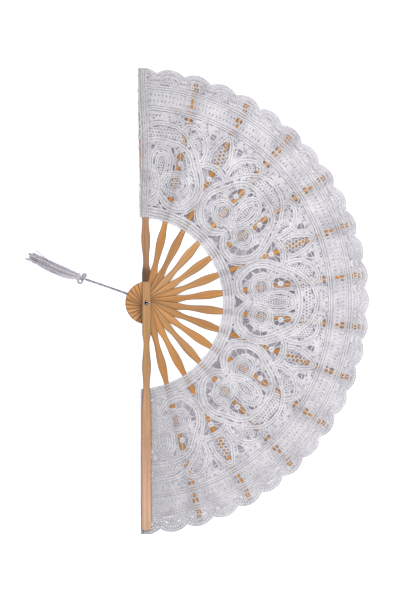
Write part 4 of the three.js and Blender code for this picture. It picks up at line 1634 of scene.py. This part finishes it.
@dataclass
class LacePattern:
    """The tape-lace pattern: scrolls between palmettes, rings round them, and a scalloped border.

    Each path gives gores from the motif's middle and depths from the inner to the outer edge.
    """

    plan: FanPlan
    work: LaceWork
    motif_repeat: int = 3
    first_trefoil: float = 0.5
    first_palmette: float = 2.0
    net: Cloth = Cloth(0.7, 0.2, lift=0.01, body=0.7)
    ring_net: Cloth = Cloth(0.75, 0.5, lift=0.01, body=0.7)
    filling: Cloth = Cloth(0.56)
    hem_width: float = 4.15
    hem_ladder: Ladder = Ladder(slot=1.15, rung=0.8, pitch=1.5)
    hem_shade_strip: float = 2.2
    hem_inset: float = 1.5
    back_end: Path = (
        (0.0, 5.4), (0.16, 5.2), (0.26, 4.2), (0.36, 3.4), (0.55, 3.2), (0.68, 3.5), (0.76, 4.4),
        (1.0, 4.8),
    )
    front_end: Path = ((0.0, 5.4), (1.0, 5.4))
    overrun: float = 0.4
    ring_tapes: tuple[tuple[float, float, int], ...] = ((0.0405, 10.6, 4), (0.743, 6.2, 3), (0.867, 6.2, 3))
    net_depths: Point = (0.764, 0.843)
    net_opening: Point = (0.768, 0.842)
    ground_depths: Point = (0.008, 0.895)
    ground_cell: float = 2.7
    moon_base: float = 0.889
    moon_rise: float = 0.058
    moon_half: float = 0.185
    moon_margin: float = 4.4
    holes: list[Array] = field(default_factory=list)

    scroll: Path = (
        (0.0, 0.193), (0.12, 0.166), (0.3, 0.14), (0.48, 0.122), (0.65, 0.118), (0.85, 0.122),
        (1.02, 0.142), (1.17, 0.175), (1.28, 0.225), (1.28, 0.275), (1.2, 0.325), (1.07, 0.365),
        (0.93, 0.408), (0.82, 0.45), (0.67, 0.493), (0.48, 0.517), (0.25, 0.529), (0.0, 0.532),
    )
    outer_scroll: Path = (
        (0.0, 0.168), (0.1, 0.147), (0.22, 0.122), (0.36, 0.103), (0.55, 0.0955), (0.8, 0.0965),
        (1.02, 0.107), (1.2, 0.13), (1.34, 0.168), (1.43, 0.22), (1.44, 0.275), (1.37, 0.33), (1.25, 0.375),
        (1.12, 0.418), (1.0, 0.46), (0.86, 0.505), (0.7, 0.552), (0.47, 0.605), (0.22, 0.635), (0.0, 0.643),
    )
    teardrop: Path = (
        (0.0, 0.222), (0.13, 0.247), (0.255, 0.3), (0.3, 0.365), (0.265, 0.43), (0.15, 0.475), (0.0, 0.487),
        (-0.15, 0.475), (-0.265, 0.43), (-0.3, 0.365), (-0.255, 0.3), (-0.13, 0.247),
    )
    shoulder: Path = (
        (0.47, 0.478), (0.57, 0.471), (0.65, 0.447), (0.73, 0.414), (0.77, 0.387), (0.73, 0.362),
        (0.63, 0.351), (0.49, 0.35), (0.43, 0.357), (0.42, 0.39), (0.4, 0.43), (0.42, 0.463),
    )
    fold_triangle: Path = ((-0.27, 0.09), (0.27, 0.09), (0.1, 0.118), (0.0, 0.15), (-0.1, 0.118))
    dome: Path = (
        (-0.58, 0.527), (-0.3, 0.545), (0.0, 0.55), (0.3, 0.545), (0.58, 0.527), (0.55, 0.567), (0.4, 0.597),
        (0.2, 0.619), (0.0, 0.626), (-0.2, 0.619), (-0.4, 0.597), (-0.55, 0.567),
    )
    pocket: Path = ((0.2, 0.492), (0.23, 0.46), (0.31, 0.443), (0.335, 0.47), (0.3, 0.497))
    palmette_arch: Path = (
        (-0.46, 0.43), (-0.24, 0.463), (0.0, 0.474), (0.24, 0.463), (0.46, 0.43),
    )
    centre_petal: Path = (
        (-0.22, 0.487), (-0.245, 0.54), (-0.19, 0.61), (0.0, 0.7), (0.19, 0.61), (0.245, 0.54),
        (0.22, 0.487),
    )
    centre_net: Path = (
        (-0.18, 0.494), (0.18, 0.494), (0.18, 0.54), (0.13, 0.6), (0.06, 0.642), (0.0, 0.66), (-0.06, 0.642),
        (-0.13, 0.6), (-0.18, 0.54),
    )
    side_petal: Path = (
        (0.4, 0.462), (0.385, 0.53), (0.46, 0.59), (0.6, 0.633), (0.78, 0.66), (0.96, 0.658), (1.08, 0.615),
    )
    side_net: Path = (
        (0.47, 0.487), (0.58, 0.478), (0.67, 0.5), (0.75, 0.545), (0.88, 0.592), (0.92, 0.626),
        (0.78, 0.632), (0.64, 0.605), (0.52, 0.557),
    )
    stick_pocket: Path = ((-0.09, 0.686), (0.09, 0.686), (0.1, 0.712), (-0.1, 0.712))
    tip_pocket: Path = ((0.35, 0.598), (0.44, 0.64), (0.42, 0.668), (0.3, 0.668), (0.27, 0.65))
    foot: Path = (
        (-0.38, 0.084), (0.38, 0.084), (0.23, 0.104), (0.11, 0.133), (0.04, 0.158), (0.01, 0.178),
        (-0.01, 0.178), (-0.04, 0.158), (-0.11, 0.133), (-0.23, 0.104),
    )
    valley: Path = (
        (-0.38, 0.425), (-0.2, 0.44), (0.0, 0.446), (0.2, 0.44), (0.38, 0.425), (0.27, 0.372), (0.16, 0.325),
        (0.05, 0.283), (-0.05, 0.283), (-0.16, 0.325), (-0.27, 0.372),
    )

    def lay(self) -> None:
        """Lays the whole leaf."""
        self.borders()
        middle = self.first_trefoil
        while middle < self.plan.gore_count:
            self.trefoil(middle)
            middle += self.motif_repeat
        middle = self.first_palmette - self.motif_repeat
        while middle <= self.plan.gore_count + 1:
            self.palmette(middle)
            middle += self.motif_repeat
        self.end_hems()
        self.ground()
        self.work.close()

    def outline(self, path: Path, spot: Spot) -> Array:
        """A path's points in the plane."""
        places, depths = np.array(path, float).T
        return self.plan.leaf_points(spot.middle + spot.side * places, depths)

    def window(self, path: Path, spot: Spot, edged: bool = True) -> Array:
        """Leaves an outline open.

        Args:
            path: The outline.
            spot: Where it lies.
            edged: Whether it is edged with cord.

        Returns:
            The outline's points in the plane.
        """
        outline = self.outline(path, spot)
        self.holes.append(outline)
        if edged:
            self.work.cord(outline)
        return outline

    def netted(self, path: Path, spot: Spot, pitch: Point, openness: Point, tilt: float = 0.0) -> None:
        """Fills an outline with net.

        Args:
            path: The outline.
            spot: Where it lies.
            pitch: Size of a cell along and across the rows.
            openness: Size of the holes as a share of the cells, between the sticks and at them.
            tilt: Turn of the rows from straight across the leaf.
        """
        outline = self.window(path, spot, edged=False)
        across = float(self.plan.stick_angle(spot.middle)) - math.pi / 2
        cells = self.work.lattice(outline, pitch, across + tilt)
        self.work.worked(cells, self.openness(cells, *openness), self.net)

    def tape(self, path: Path, spot: Spot, width: float, lift: float) -> None:
        """Lays a tape along a path."""
        self.work.tape(spline(self.outline(path, spot)), width, lift)

    def oval_tape(self, centre: Point, size: Point, spot: Spot, width: float, lift: float) -> None:
        """Lays a ring of tape."""
        outline = self.outline(self.oval(centre, size, 24), spot)
        self.work.tape(spline(outline, closed=True, steps=4), width, lift)

    def bar(self, start: Point, end: Point, spot: Spot, width: float) -> None:
        """Lays a bar between two places and depths of a motif."""
        self.work.bar(*self.outline([start, end], spot), width)

    def oval(self, centre: Point, size: Point, count: int = 16) -> list[Point]:
        """Places and depths round an ellipse."""
        turns = np.linspace(0, 2 * math.pi, count, endpoint=False)
        return [(centre[0] + size[0] * math.cos(t), centre[1] + size[1] * math.sin(t)) for t in turns]

    def borders(self) -> None:
        """The inner border, the two rings with the net between them, and the scallops."""
        places = np.linspace(-self.overrun, self.plan.gore_count + self.overrun, 220)
        for depth, width, bands in self.ring_tapes:
            self.work.tape(self.plan.leaf_points(places, depth), width, 0.02, bands, pulled=0.18)
        cells = self.work.ring_lattice(*self.net_depths, 2, 3.3)
        self.work.worked(cells, self.openness(cells, 0.22, 0.88), self.ring_net)
        self.scallops()

    def scallops(self) -> None:
        """The border's half-moon nets, and the corded bands from them to the scalloped edge."""
        plan = self.plan
        rise, half, low = self.moon_rise, self.moon_half, self.moon_base
        offsets = np.linspace(-1, 1, 32) * 0.5 / plan.scallops_per_gore
        arch = np.sqrt(np.clip(1 - (offsets / half) ** 2, 0, None))
        shares = np.array([0.0, 0.16, 0.3, 0.38, 0.55, 0.7, 0.78, 0.9, 1.0])
        bodies = np.array([0.5, 1.0, 0.5, 0.5, 0.9, 0.5, 0.5, 1.0, 0.55])
        moon_path = [(-half, low), (half, low)]
        for turn in np.linspace(0.25, math.pi - 0.25, 9):
            moon_path.append((half * math.cos(turn), low + rise * math.sin(turn)))
        for number in range(-1, plan.gore_count * plan.scallops_per_gore + 2):
            crest = number / plan.scallops_per_gore
            places = crest + offsets
            edge = plan.scalloped_edge(places)
            moon = np.minimum(plan.leaf_radius(places, low + rise * arch), edge - self.moon_margin)
            radius = moon[:, None] + (edge - moon)[:, None] * shares
            points = polar(radius, plan.stick_angle(places)[:, None])
            steps = np.linalg.norm(np.diff(points[:, -1], axis=0), axis=1)
            along = np.concatenate([[0], np.cumsum(steps)])
            self.work.strips(points, along, shares * 8, bodies, 0.03, (2, 5), 0.88)
            self.work.coverage.cover(points[:, 4], 3.0)
            self.netted(moon_path, Spot(crest), (2.5, 3.4), (0.3, 0.77))

    def openness(self, cells: Array, between: float, at_stick: float) -> Array:
        """Size of each cell's hole: the net is pulled open where the leaf is glued to a stick."""
        away = self.plan.off_stick(cells[:, :, :2].mean(axis=1))
        openness = np.interp(away, [2.1, 2.9], [at_stick, between])
        return openness * self.work.draw.uniform(0.6, 1.3, len(cells)) ** (openness < 0.5)

    def trefoil(self, middle: float) -> None:
        """A trefoil scroll.

        Args:
            middle: Place of its middle, which is a fold.
        """
        for side in (-1, 1):
            spot = Spot(middle, side)
            self.tape(self.scroll, spot, 4.4, 0.03 + 0.01 * side)
            self.tape(self.outer_scroll, spot, 4.0, 0.05 + 0.01 * side)
            self.side_oval(spot)
            self.shoulder_window(spot)
            self.window(self.pocket, spot)
        spot = Spot(middle)
        self.work.tape(spline(self.outline(self.teardrop, spot), closed=True), 3.8, 0.055)
        self.oval_tape((0.0, 0.363), (0.155, 0.08), spot, 3.4, 0.045)
        self.netted(self.oval((0.0, 0.363), (0.11, 0.064)), spot, (2.2, 2.4), (0.56, 0.56))
        self.netted(self.dome, spot, (2.9, 3.0), (0.42, 0.42))
        if 1 < middle < self.plan.gore_count - 1:
            self.window(self.fold_triangle, spot, edged=False)
        self.bar((0.0, 0.15), (0.0, 0.275), spot, 2.4)
        self.bar((-0.17, 0.214), (0.17, 0.214), spot, 2.6)

    def side_oval(self, spot: Spot) -> None:
        """A side lobe: a net ringed by tapes, in a crescent window crossed by worked bars.

        Args:
            spot: Where the trefoil lies, and on which side of it the lobe is.
        """
        centre, window_centre = (0.535, 0.266), (0.535, 0.262)
        self.oval_tape(centre, (0.43, 0.0715), spot, 3.6, 0.04)
        self.oval_tape(centre, (0.26, 0.0485), spot, 3.1, 0.045)
        self.netted(self.oval(centre, (0.2, 0.036)), spot, (1.9, 2.1), (0.6, 0.7))

        def about(wide: float, tall: float, turn: float) -> Point:
            """A place and depth of the ellipse round the window's middle."""
            return window_centre[0] + wide * math.cos(turn), window_centre[1] + tall * math.sin(turn)

        turns = np.radians(np.linspace(32, -112, 24))
        spans = np.interp(turns, np.radians([-112, -95, -70]), [0.35, 0.66, 1.0])
        inner = [about(0.535, 0.09, t) for t in turns]
        outer = [about(0.535 + 0.12 * span, 0.09 + 0.034 * span, t) for t, span in zip(turns, spans)]
        self.window([*inner[1:-1], *reversed(outer)], spot, edged=False)
        for turn in np.radians((10, -19, -53, -78)):
            self.bar(about(0.5, 0.084, turn), about(0.69, 0.13, turn), spot, 0.9)

    def shoulder_window(self, spot: Spot) -> None:
        """A window at the trefoil's shoulder, with a wound ring held by bars."""
        corners = self.window(self.shoulder, spot)
        (centre,) = self.outline([(0.55, 0.402)], spot)
        self.work.wheel(centre, corners[::2], 0.8, 2.8, 0.25)

    def palmette(self, middle: float) -> None:
        """A palmette of three petals.

        Args:
            middle: Place of its middle, which is a stick.
        """
        for side in (-1, 1):
            spot = Spot(middle, side)
            self.tape(self.side_petal, spot, 4.2, 0.04 + 0.01 * side)
            self.netted(self.side_net, spot, (2.6, 2.4), (0.46, 0.6), -side * math.radians(45))
            self.window(self.tip_pocket, spot)
            self.bar((0.26, 0.64), (0.46, 0.655), spot, 0.8)
        spot = Spot(middle)
        self.netted(self.centre_net, spot, (4.3, 3.0), (0.6, 0.78), math.radians(-22))
        self.tape(self.centre_petal, spot, 4.2, 0.06)
        self.tape(self.palmette_arch, spot, 4.2, 0.07)
        valley = self.window(self.valley, spot)
        self.window(self.foot, spot)
        (centre,) = self.outline([(0.0, 0.386)], spot)
        self.work.wheel(centre, valley[[0, 1, 3, 4, 6, 9]], 0.9, 2.7, 0.35)
        for depth, half in ((0.345, 0.21), (0.318, 0.14)):
            self.bar((-half, depth + 0.01), (half, depth - 0.004), spot, 0.9)

    def stick_pockets(self) -> None:
        """Small paired windows in the filling inside the first ring, at sticks with no palmette."""
        for stick in range(1, self.plan.gore_count):
            if (stick - self.first_palmette) % self.motif_repeat:
                self.window(self.stick_pocket, Spot(stick))
                self.bar((0.0, 0.683), (0.005, 0.716), Spot(stick), 0.8)

    def ground(self) -> None:
        """Filling of small worked cells wherever no tape, net or window is."""
        self.stick_pockets()
        plan, size = self.plan, self.ground_cell
        rows = int((plan.outer_radius - plan.inner_radius) * 0.9 / size)
        depths = np.linspace(*self.ground_depths, rows + 1)
        laid = []
        for low, high in zip(depths, depths[1:]):
            middle = (low + high) / 2
            if self.net_opening[0] < middle < self.net_opening[1]:
                continue
            radius = float(plan.leaf_radius(plan.gore_count / 2, middle))
            count = round(plan.open_angle * radius / size)
            edges = np.linspace(-self.overrun, plan.gore_count + self.overrun, count)
            laid.append(self.work.blocks(edges[:-1], edges[1:], low, high))
        cells = np.concatenate(laid)
        cells = cells[~self.work.coverage.covers(cells.mean(axis=1))]
        for hole in self.holes:
            reach = np.linalg.norm(hole - hole.mean(axis=0), axis=1).max() + 2 * size
            close = np.linalg.norm(cells.mean(axis=1) - hole.mean(axis=0), axis=1) < reach
            near = cells[close]
            near = near[~inside(near.mean(axis=1), hole)]
            cells = np.concatenate([cells[~close], snapped(near, hole, keep_inside=False)])
        self.work.filled(cells, self.filling)

    def end_hems(self) -> None:
        """Two ladder-stitched tapes along both ends of the leaf, in place of the pattern there, with a dark
        strip of painted shade under the outer one's ladder.
        """
        plan, smoothing = self.plan, 13
        lines = []
        for stick, side, edge in ((0, 1, self.back_end), (plan.gore_count, -1, self.front_end)):
            angle = plan.stick_angle(float(stick))
            ahead = np.array([math.cos(angle), math.sin(angle)])
            outward = side * np.array([-ahead[1], ahead[0]])
            low, high = float(plan.inner_edge(angle)), float(plan.outer_edge(angle))
            reach = np.linspace(low + 0.3, high - 0.4, 80)
            share = (reach - low) / (high - low)
            middle = np.interp(share, *zip(*edge)) - self.hem_width / 2
            middle = np.pad(middle, smoothing // 2, mode="edge")
            middle = np.convolve(middle, np.full(smoothing, 1 / smoothing), mode="valid")
            for number, cells in enumerate(self.work.cells):
                centres = cells[:, :, :2].mean(axis=1)
                limit = np.interp(centres @ ahead, reach, middle) - self.hem_inset
                self.work.cells[number] = cells[centres @ outward < limit]
            line = ahead * reach[:, None] + outward * middle[:, None]
            lines.append((line, line - outward * (self.hem_width + 0.1)))
        for outer, inner in lines:
            # Painted shade: a dark strip under the outer tape, seen through its ladder.
            self.work.tape(outer, self.hem_shade_strip, 0.04, bands=1, brightness=0.1)
            self.work.tape(outer, self.hem_width, 0.08, ladder=self.hem_ladder)
            self.work.tape(inner, self.hem_width, 0.08)


@dataclass
class Leaf:
    """The tape-lace leaf, in the pieces between its folds and its glued edges."""

    plan: FanPlan
    rib_glued_half: float = 3.2
    guard_glued_half: float = 5.3
    end_overhang: float = 5.4
    fullest: float = 1.15
    black_tone: float = -1.49
    gamma: float = 2.2
    far_rim: float = 0.012
    near_rim: float = 0.008
    # Painted shade of the pleats, the ends and the depth, as brightness factors baked into the lace's tone.
    pleat_light: Path = (
        (-0.5, 1.0), (-0.3, 0.97), (-0.06, 0.955), (0.03, 0.93), (0.1, 0.92), (0.18, 0.98),
        (0.24, 1.0), (0.5, 1.0),
    )
    end_light: Path = (
        (0.0, 0.94), (0.5, 0.98), (1.2, 1.01), (2.0, 1.03), (8.5, 1.03), (11.0, 1.01), (12.0, 0.97),
        (12.5, 0.92), (13.0, 0.88),
    )
    depth_light: Path = (
        (0.0, 0.955), (0.12, 0.96), (0.3, 0.98), (0.5, 1.0), (0.66, 1.0), (0.74, 0.98), (0.8, 0.96),
        (0.87, 0.965), (0.92, 0.975), (1.0, 0.975),
    )
    pieces: list[Piece] = field(default_factory=list)

    def __post_init__(self) -> None:
        """Starts with no lace laid."""
        self.work = LaceWork(self.plan)

    def glued_half(self, stick: int) -> float:
        """Half the width of leaf that is glued to a stick."""
        rib = self.plan.kind(stick) is StickKind.RIB
        return self.rib_glued_half if rib else self.guard_glued_half

    def build(self) -> list[Piece]:
        """Lays the lace and cuts it into its pieces.

        Returns:
            The pieces.
        """
        LacePattern(self.plan, self.work).lay()
        for gore in range(self.plan.gore_count):
            self.pieces.append(self.glued_piece(gore))
            self.pieces.append(self.folding_piece(gore))
        self.pieces.append(self.end_piece())
        return self.pieces

    def dress(self) -> None:
        """Gives the lace its finish."""
        lace = LaceFinish().material()
        for piece in self.pieces:
            piece.data.materials.append(lace)

    def left_of(self, place: float) -> Array:
        """The direction square to the left of a line from the rivet through a place."""
        angle = float(self.plan.stick_angle(place))
        return np.array([-math.sin(angle), math.cos(angle)])

    def light_left(self, points: Array) -> Array:
        """Painted shade: the share of light, by pleat, by place towards the ends and by depth, that is
        multiplied into the lace's tone.

        Args:
            points: Places of the leaf in the plane.

        Returns:
            The share at each.
        """
        place, radius = self.plan.place_of(points)
        pleat = np.interp(place - np.round(place), *zip(*self.pleat_light))
        angle = self.plan.stick_angle(place)
        inner, outer = self.plan.inner_edge(angle), self.plan.outer_edge(angle)
        depth = (radius - inner) / (outer - inner)
        ends = np.interp(place, *zip(*self.end_light))
        return (pleat * ends * np.interp(depth, *zip(*self.depth_light))) ** self.gamma

    def body(self, stick: int) -> str:
        """Name of the body that a stick moves with."""
        return f"{self.plan.stick_name(stick)}_body"

    def glued_piece(self, gore: int) -> Piece:
        """The half gore that lies level on its stick, out to the fold."""
        reach = self.end_overhang if gore == 0 else self.glued_half(gore)
        cuts = [(self.left_of(gore), reach), (-self.left_of(gore + 0.5), 0.0)]
        return self.level_piece(f"gore_{gore + 1:02d}_glued", gore, cuts, (gore - 0.7, gore + 0.8))

    def end_piece(self) -> Piece:
        """The hemmed end of the leaf under the front guard."""
        last = self.plan.gore_count
        normal = self.left_of(last)
        cuts = [(normal, self.glued_half(last)), (-normal, self.end_overhang)]
        return self.level_piece("leaf_end_hem", last, cuts, (last - 0.5, last + 0.7))

    def level_piece(self, node: str, stick: int, cuts: Cuts, sector: Point) -> Piece:
        """A piece of the leaf that lies level on a stick.

        Args:
            node: Name of the solid that it stands for.
            stick: Number of the stick.
            cuts: Normal and offset of each cut that bounds it.
            sector: Lowest and highest place that it can reach.

        Returns:
            The piece.
        """
        level = self.plan.leaf_level(stick)
        polygons = self.work.panel(cuts, sector)
        piece = self.piece(node, polygons, lambda points: np.full(len(points), level))
        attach(piece, self.body(stick))
        self.declare(piece, stick, node)
        return piece

    def folding_piece(self, gore: int) -> Piece:
        """The half gore that climbs from the fold to the next stick.

        Args:
            gore: Number of the gore.

        Returns:
            The piece.
        """
        reach = self.glued_half(gore + 1)
        fold, normal = self.left_of(gore + 0.5), self.left_of(gore + 1)
        start = float(self.plan.stick_angle(gore + 0.5))
        end_line = float(self.plan.stick_angle(gore + 1))
        level = self.plan.leaf_level(gore)

        def height(points: Array) -> Array:
            """Height of the sheet, by the share of the way from the fold to the stick."""
            radius = np.linalg.norm(points, axis=1)
            angle = np.arctan2(points[:, 1], points[:, 0])
            stop = end_line + np.arcsin(reach / radius)
            return level + self.plan.stick_pitch * np.clip((start - angle) / (start - stop), 0, 1)

        node = f"gore_{gore + 1:02d}_fold"
        polygons = self.work.panel([(fold, 0.0), (-normal, -reach)], (gore + 0.2, gore + 1.5))
        piece = self.piece(node, polygons, height)
        self.body(gore)
        self.body(gore + 1)
        self.plan.leaf_level(gore + 1) * MM
        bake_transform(piece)
        self.declare(piece, gore + 1, node)
        return piece

    def declare(self, piece: Piece, stick: int, node: str) -> None:
        """Hides the solid that a piece of the leaf stands for.

        Args:
            piece: The piece.
            stick: Number of the stick that it is glued to; not used.
            node: Name of the solid that it stands for.
        """
        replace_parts(piece, node)
        f"{self.plan.stick_name(stick)}_stick"

    def piece(
        self, node: str, polygons: list[Array], height: Callable[[Array], Array]
    ) -> Piece:
        """Makes one piece of the leaf.

        Args:
            node: Name of the solid that it stands for.
            polygons: Its polygons, laid flat.
            height: Height of the sheet's underside at points of the plane.

        Returns:
            The piece.
        """
        counts = [len(polygon) for polygon in polygons]
        corners = np.concatenate(polygons)
        keys = np.round(corners[:, [0, 1, 5, 6]] * [500, 500, 1000, 1000]).astype(np.int64)
        _, first, number = np.unique(keys, axis=0, return_index=True, return_inverse=True)
        number = number.ravel()
        faces, start = [], 0
        for count in counts:
            face = number[start : start + count]
            start += count
            kept = [int(c) for k, c in enumerate(face) if c != face[k - 1]]
            if len(set(kept)) == len(kept) > 2:
                faces.append(kept)
        points = corners[first]
        lifted = np.column_stack([points[:, :2], height(points[:, :2]) + points[:, 5]])
        name = node.replace("gore", "lace_gore") if "gore" in node else "lace_end_hem"
        piece = make_mesh(name, lifted, faces)
        draw = np.random.default_rng(len(points))
        # Random tone, then the painted shade of the pleats, the ends and the depth.
        uneven = points[:, 4] + draw.uniform(-0.16, 0.16, len(points))
        uneven = (uneven - self.black_tone) * self.light_left(points[:, :2]) + self.black_tone
        carry(piece, "weave", np.column_stack([points[:, 2] * MM, points[:, 3] * MM, uneven]))
        group = piece.vertex_groups.new(name="body")
        bodies = np.round(points[:, 6] * draw.uniform(0.88, 1.08, len(points)) / self.fullest * 50) / 50
        for body in np.unique(bodies):
            group.add(np.nonzero(bodies == body)[0].tolist(), min(float(body), 1.0), "REPLACE")
        modifier = piece.modifiers.new("body", "SOLIDIFY")
        modifier.thickness = self.plan.leaf_thickness * self.fullest * MM
        modifier.offset = 1.0
        modifier.use_even_offset = False
        modifier.vertex_group = "body"
        return piece


# Rivet


@dataclass
class Rivet:
    """The domed pin through every stick, and its flat cap at the rear."""

    shank_radius: float = 1.2
    dome_radius: float = 2.2
    dome_height: float = 1.1
    dome_base: float = 20.5
    pin_end: float = 0.5
    chamfer: float = 0.12
    cap_radius: float = 2.6
    cap_thickness: float = 0.9
    cap_round: float = 0.25
    socket_radius: float = 1.3
    socket_floor: float = 0.4
    pieces: list[Piece] = field(default_factory=list)

    def build(self) -> list[Piece]:
        """Makes the pin and the cap, and gives both."""
        self.pieces = [self.pin(), self.cap()]
        return self.pieces

    def dress(self) -> None:
        """Gives both their metal."""
        metal = MetalFinish().material()
        for piece in self.pieces:
            piece.data.materials.append(metal)
            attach(piece, "back_guard_body")

    def pin(self) -> Piece:
        """The pin, with a chamfered end and a rolled dome.

        Returns:
            The piece.
        """
        profile = [(0.0, self.pin_end), (self.shank_radius - self.chamfer, self.pin_end)]
        profile += [(self.shank_radius, self.pin_end + self.chamfer), (self.shank_radius, self.dome_base)]
        profile += [(self.dome_radius - 0.1, self.dome_base)]
        ball = (self.dome_radius**2 + self.dome_height**2) / (2 * self.dome_height)
        for reach in np.linspace(self.dome_radius - 0.05, 0.0, 12)[:-1]:
            rise = self.dome_height - ball + math.sqrt(ball**2 - reach**2)
            profile.append((reach, self.dome_base + rise))
        profile.append((0.0, self.dome_base + self.dome_height))
        piece = make_mesh("rivet_dome_pin", *revolve(profile, 48))
        smooth(piece, 40)
        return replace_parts(piece, "rivet_pin")

    def cap(self) -> Piece:
        """The cap, with a rounded rim and the socket that takes the pin.

        Returns:
            The piece.
        """
        profile = [(0.0, 0.0), (self.cap_radius - self.cap_round, 0.0)]
        for turn in np.linspace(-math.pi / 2, 0, 5)[1:]:
            profile.append((
                self.cap_radius - self.cap_round + self.cap_round * math.cos(turn),
                self.cap_round + self.cap_round * math.sin(turn),
            ))
        profile += [
            (self.cap_radius, self.cap_thickness - 0.15), (self.cap_radius - 0.15, self.cap_thickness),
            (self.socket_radius, self.cap_thickness), (self.socket_radius, self.socket_floor),
            (0.0, self.socket_floor),
        ]
        piece = make_mesh("rivet_rear_cap", *revolve(profile, 48))
        smooth(piece, 40)
        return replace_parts(piece, "rivet_cap")


def main() -> None:
    """Builds and dresses the fan, and reports each piece."""
    logging.basicConfig(level=logging.INFO, format="%(name)s: %(message)s")
    Studio().build()
    plan = FanPlan()
    for assembly in (Tassel(), Sticks(plan), Leaf(plan), Rivet()):
        for piece in assembly.build():
            LOG.info("%s: %d faces", piece.name, len(piece.data.polygons))
        assembly.dress()
    bpy.context.view_layer.update()


if __name__ == "__main__":
    main()
